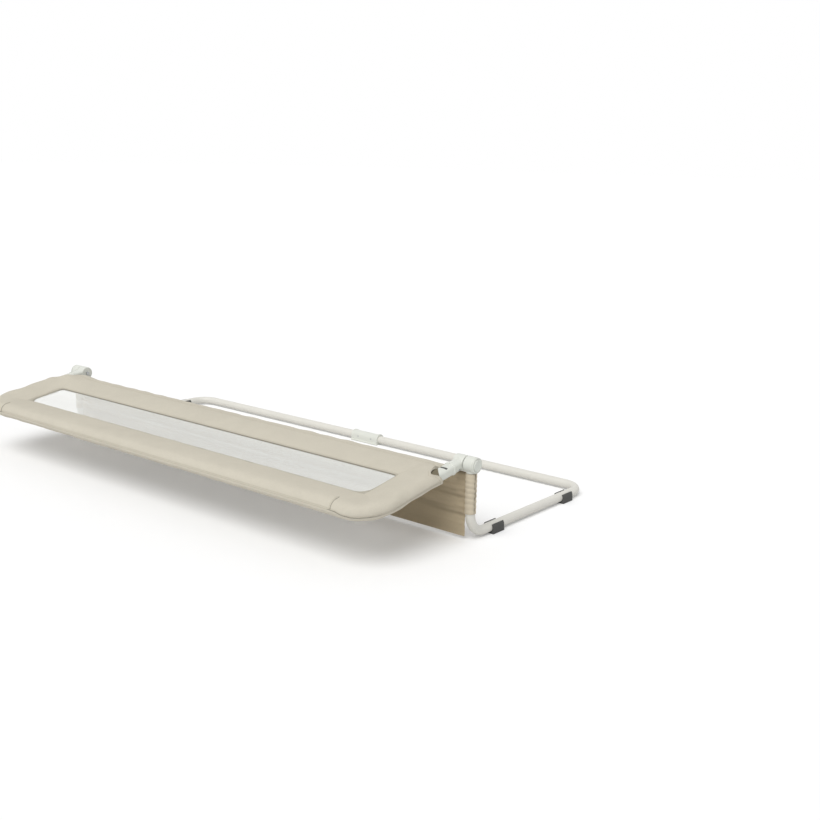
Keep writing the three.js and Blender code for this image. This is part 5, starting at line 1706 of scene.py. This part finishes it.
    def build(self) -> None:
        """Make both hinges."""
        inner, outer = self.arms()
        for obj, body, finish, slot, node in (
            (inner, Body.GUARD, HINGE_PLASTIC, "hinge_plastic", "arm_shell_inner"),
            (outer, Body.GUARD, HINGE_PLASTIC, "hinge_plastic", "arm_shell_outer"),
            (self.bracket(), Body.BASE, HINGE_PLASTIC, "hinge_plastic", "hinge_bracket"),
            (self.bezel_ring(), Body.BASE, HINGE_PLASTIC, "hinge_plastic", "hub_bezel"),
            (self.lock_button(), Body.BUTTON_RIGHT, BUTTON_PLASTIC, "button_plastic", "lock_button"),
            (self.screw(), Body.GUARD, ZINC, "zinc", "arm_screw"),
        ):
            add_pair(obj, body, finish, slot, node)
        # painted shade: a dark rubber-coloured strip stands for the shade down in the arm's slot
        add_pair(self.slot_seal(), Body.GUARD, PAD_RUBBER, "pad_rubber")


# ---------------------------------------------------------------- the base

@dataclass
class BaseFrame:
    """The steel base: two bent tubes, their coupler and the foot pads, in the hinge frame, in millimetres."""

    upright_x: float = 732.5
    tube: float = 11.0
    wall: float = 1.5
    bend: float = 50.0
    reach: float = 480.0
    tube_z: float = -161.0
    top: float = -18.8
    tube_gap: float = 3.3
    coupler_half: float = 50.0
    coupler_wall: float = 3.2
    coupler_rim: float = 1.6
    foot_half: float = 18.0
    fit: float = 0.3
    pin_hole: float = 2.3
    upright_pin_z: float = -38.8
    coupler_pin_x: float = 25.0
    floor: float = -14.0
    pad_half: tuple[float, float] = (15.0, 21.0)
    pad_wall: float = 3.0
    pad_run: float = 42.0

    def half_tube(self) -> bpy.types.Object:
        """The right half: upright, side run and half of the rear bar, from one tube with two pin holes."""
        x, y, z = self.upright_x, self.reach, self.tube_z
        path = bent_path([(x, 0, self.top), (x, 0, z), (x, y, z), (self.tube_gap, y, z)], self.bend, 24,
                         (1.0, 0.0, 0.0))
        tube = pipe(path, self.tube, self.tube - self.wall, 40)
        obj = new_object("base_tube_soft_right", tube.moved(in_metres))
        carve(obj, *(rod(self.pin_hole, -16.0, 16.0, "y", centre, 24)
                     for centre in ((x, 0, self.upright_pin_z), (self.coupler_pin_x, y, z))))
        place(obj, from_hinge)
        return obj

    def coupler(self) -> bpy.types.Object:
        """The rear coupler: a half round saddle on a flat foot, with a raised rim at either end."""
        def outline(rise: float) -> Array:
            """The coupler's section, its saddle raised by so much."""
            radius, top = self.tube + self.fit + self.coupler_wall + rise, self.floor + self.coupler_wall
            foot = [[-self.foot_half, self.floor], [self.foot_half, self.floor], [self.foot_half, top],
                    [radius, top]]
            back = [[-radius, top], [-self.foot_half, top]]
            return np.concatenate([foot, arc_points((0, 0), radius, 0.0, math.pi, 24), back])

        centre, half = (0, self.reach, self.tube_z), self.coupler_half
        obj = moulded("rear_coupler_soft", [
            extruded(outline(0), -half, half, "x", centre),
            extruded(outline(self.coupler_rim), -half, -half + 7, "x", centre),
            extruded(outline(self.coupler_rim), half - 7, half, "x", centre),
        ], 0.8, 2)
        carve(obj, *(rod(self.tube + self.fit, start, end, "x", centre, 40)
                     for start, end in ((-half - 3, -3), (3, half + 3))))
        carve(obj, *(rod(self.pin_hole, -30.0, 30.0, "y", (x, self.reach, self.tube_z), 24)
                     for x in (-self.coupler_pin_x, self.coupler_pin_x)))
        place(obj, from_hinge)
        return obj

    def foot_pad(self, word: str, y: float) -> bpy.types.Object:
        """A rubber clip: an open ring that grips the tube, on a flat foot with rounded edges."""
        inner, outer = self.tube + self.fit, self.tube + self.fit + self.pad_wall
        wide, deep = self.pad_half
        open_at = math.pi / 2 - math.radians(50)
        outline = np.concatenate([
            [[-wide, self.floor], [wide, self.floor], [wide, self.floor / 2]],
            arc_points((0, 0), outer, 0, open_at, 10),
            arc_points((0, 0), inner, open_at, -math.pi - open_at, 40),
            arc_points((0, 0), outer, math.pi - open_at, math.pi, 10),
            [[-wide, self.floor / 2]],
        ])
        shell = extruded(outline, -deep, deep, "y", (self.upright_x, y, self.tube_z))
        obj = new_object(f"foot_pad_soft_{word}_right", shell.moved(from_hinge))
        refine(obj, "BEVEL", width=0.7 * MM, segments=3, limit_method="ANGLE")
        return obj

    def build(self) -> None:
        """Make the base."""
        add_pair(self.half_tube(), Body.BASE, TUBE_PAINT, "tube_paint", "base_tube")
        add_piece(self.coupler(), Body.BASE, HINGE_PLASTIC, "hinge_plastic", ["rear_coupler"])
        for word, y in (("front", self.bend + self.pad_run), ("rear", self.reach - self.bend - self.pad_run)):
            add_pair(self.foot_pad(word, y), Body.BASE, PAD_RUBBER, "pad_rubber", f"foot_pad_{word}")


# ---------------------------------------------------------------- nodes that stay

class InnerParts:
    """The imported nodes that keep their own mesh: what the hinges and tubes hold inside."""

    finishes: dict[str, Finish] = {
        "corner_tube": TUBE_PAINT, "lock_ring": LOCK_PLASTIC, "lock_spring": SPRING_STEEL,
        "button_spring": SPRING_STEEL, "pivot_bolt": ZINC, "pivot_nut": ZINC, "bracket_pin": ZINC,
        "coupler_pin": ZINC,
    }

    def build(self) -> None:
        """Dress them."""
        for side in Side:
            for name, finish in self.finishes.items():
                WARDROBE.give_node(f"{name}_{side.word}", finish)
        WARDROBE.give_node("top_tube", TUBE_PAINT)


# ---------------------------------------------------------------- studio

@dataclass
class Studio:
    """Camera, floor, lamp and world, in metres."""

    camera_at: tuple[float, float, float] = (2.0661, -1.9226, 0.8251)
    yaw: float = math.radians(128.77)
    pitch: float = math.radians(-11.71)
    roll: float = math.radians(-1.27)
    focal_pixels: float = 1082.7
    middle: tuple[float, float] = (423.1, 382.1)
    picture: float = 820.0
    sensor: float = 36.0
    sky: float = 0.5
    sun_from: tuple[float, float, float] = (0.2, -0.7, 1.0)
    sun_spread: float = math.radians(45)
    floor_color: Color = (0.87, 0.87, 0.87, 1.0)
    floor_half: float = 60.0
    floor_drop: float = 0.0004
    floor_lift: float = 0.15

    def camera(self) -> None:
        """The camera at the photograph's viewpoint, from its heading and the picture's middle in pixels."""
        level = math.cos(self.pitch)
        ahead = np.array([level * math.cos(self.yaw), level * math.sin(self.yaw), math.sin(self.pitch)])
        right = unit(np.cross(ahead, UPWARD))
        down = np.cross(ahead, right)
        cos, sin = math.cos(self.roll), math.sin(self.roll)
        right, down = cos * right + sin * down, cos * down - sin * right
        data = bpy.data.cameras.new("photo_view")
        data.sensor_width = self.sensor
        data.lens = self.focal_pixels / self.picture * self.sensor
        data.shift_x = (self.picture / 2 - self.middle[0]) / self.picture
        data.shift_y = (self.middle[1] - self.picture / 2) / self.picture
        turn = np.eye(4)
        turn[:3, :3] = np.stack([right, -down, -ahead], axis=1)
        turn[:3, 3] = self.camera_at
        camera = linked("photo_view", data)
        camera.matrix_world = Matrix(turn.tolist())
        bpy.context.scene.camera = camera

    def floor(self) -> None:
        """A wide pale floor that keeps the rail's shadow, and that the camera sees a little lighter."""
        corners = np.array([[-1, -1, 0], [1, -1, 0], [1, 1, 0], [-1, 1, 0]]) * self.floor_half
        obj = new_object("studio_floor", Shell(corners - (0, 0, self.floor_drop), [[0, 1, 2, 3]]))
        material = bpy.data.materials.new("studio_floor")
        material.use_nodes = True
        graph = Graph(material.node_tree)
        seen = graph.add("LightPath").outputs["Is Camera Ray"]
        shader = graph.add("BsdfPrincipled", Base_Color=self.floor_color, Roughness=0.9,
                           Specular_IOR_Level=0.0, Emission_Color=WHITE,
                           Emission_Strength=graph.math("MULTIPLY", seen, self.floor_lift))
        graph.add("OutputMaterial", Surface=shader.outputs["BSDF"])
        obj.data.materials.append(material)

    def lamp(self) -> None:
        """One very broad soft sun, high and a little in front: level cloth comes out in its own colour."""
        data = bpy.data.lights.new("soft_sun", "SUN")
        towards = unit(np.array(self.sun_from))
        data.angle = self.sun_spread
        data.energy = (1.0 - self.sky) * math.pi / float(towards[2])
        lamp = linked("soft_sun", data)
        lamp.rotation_euler = Vector((-towards).tolist()).to_track_quat("-Z", "Y").to_euler()

    def world(self) -> None:
        """A pale world that the camera and mirrors see as white."""
        world = bpy.data.worlds.new("studio_world")
        world.use_nodes = True
        graph = Graph(world.node_tree)
        rays = graph.add("LightPath").outputs
        seen = graph.math("MAXIMUM", rays["Is Camera Ray"], rays["Is Glossy Ray"])
        seen = graph.math("MAXIMUM", seen, rays["Is Transmission Ray"])
        strength = graph.math("MULTIPLY_ADD", seen, 1.0 - self.sky, self.sky)
        back = graph.add("Background", Color=WHITE, Strength=strength)
        graph.add("OutputWorld", Surface=back.outputs[0])
        bpy.context.scene.world = world

    def build(self) -> None:
        """Set the scene."""
        self.camera()
        self.floor()
        self.lamp()
        self.world()
        bpy.context.scene.view_settings.view_transform = "Standard"


def main() -> None:
    logging.basicConfig(level=logging.INFO, format="%(name)s: %(message)s")
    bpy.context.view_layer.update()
    Studio().build()
    cover = GuardCover()
    cover.build()
    NetWindow(cover).build()
    BaseFrame().build()
    Hinge().build()
    cloth = LooseCloth(cover)
    for side in Side:
        cloth.sleeve(side)
    cloth.skirt()
    cloth.flap()
    InnerParts().build()


if __name__ == "__main__":
    main()
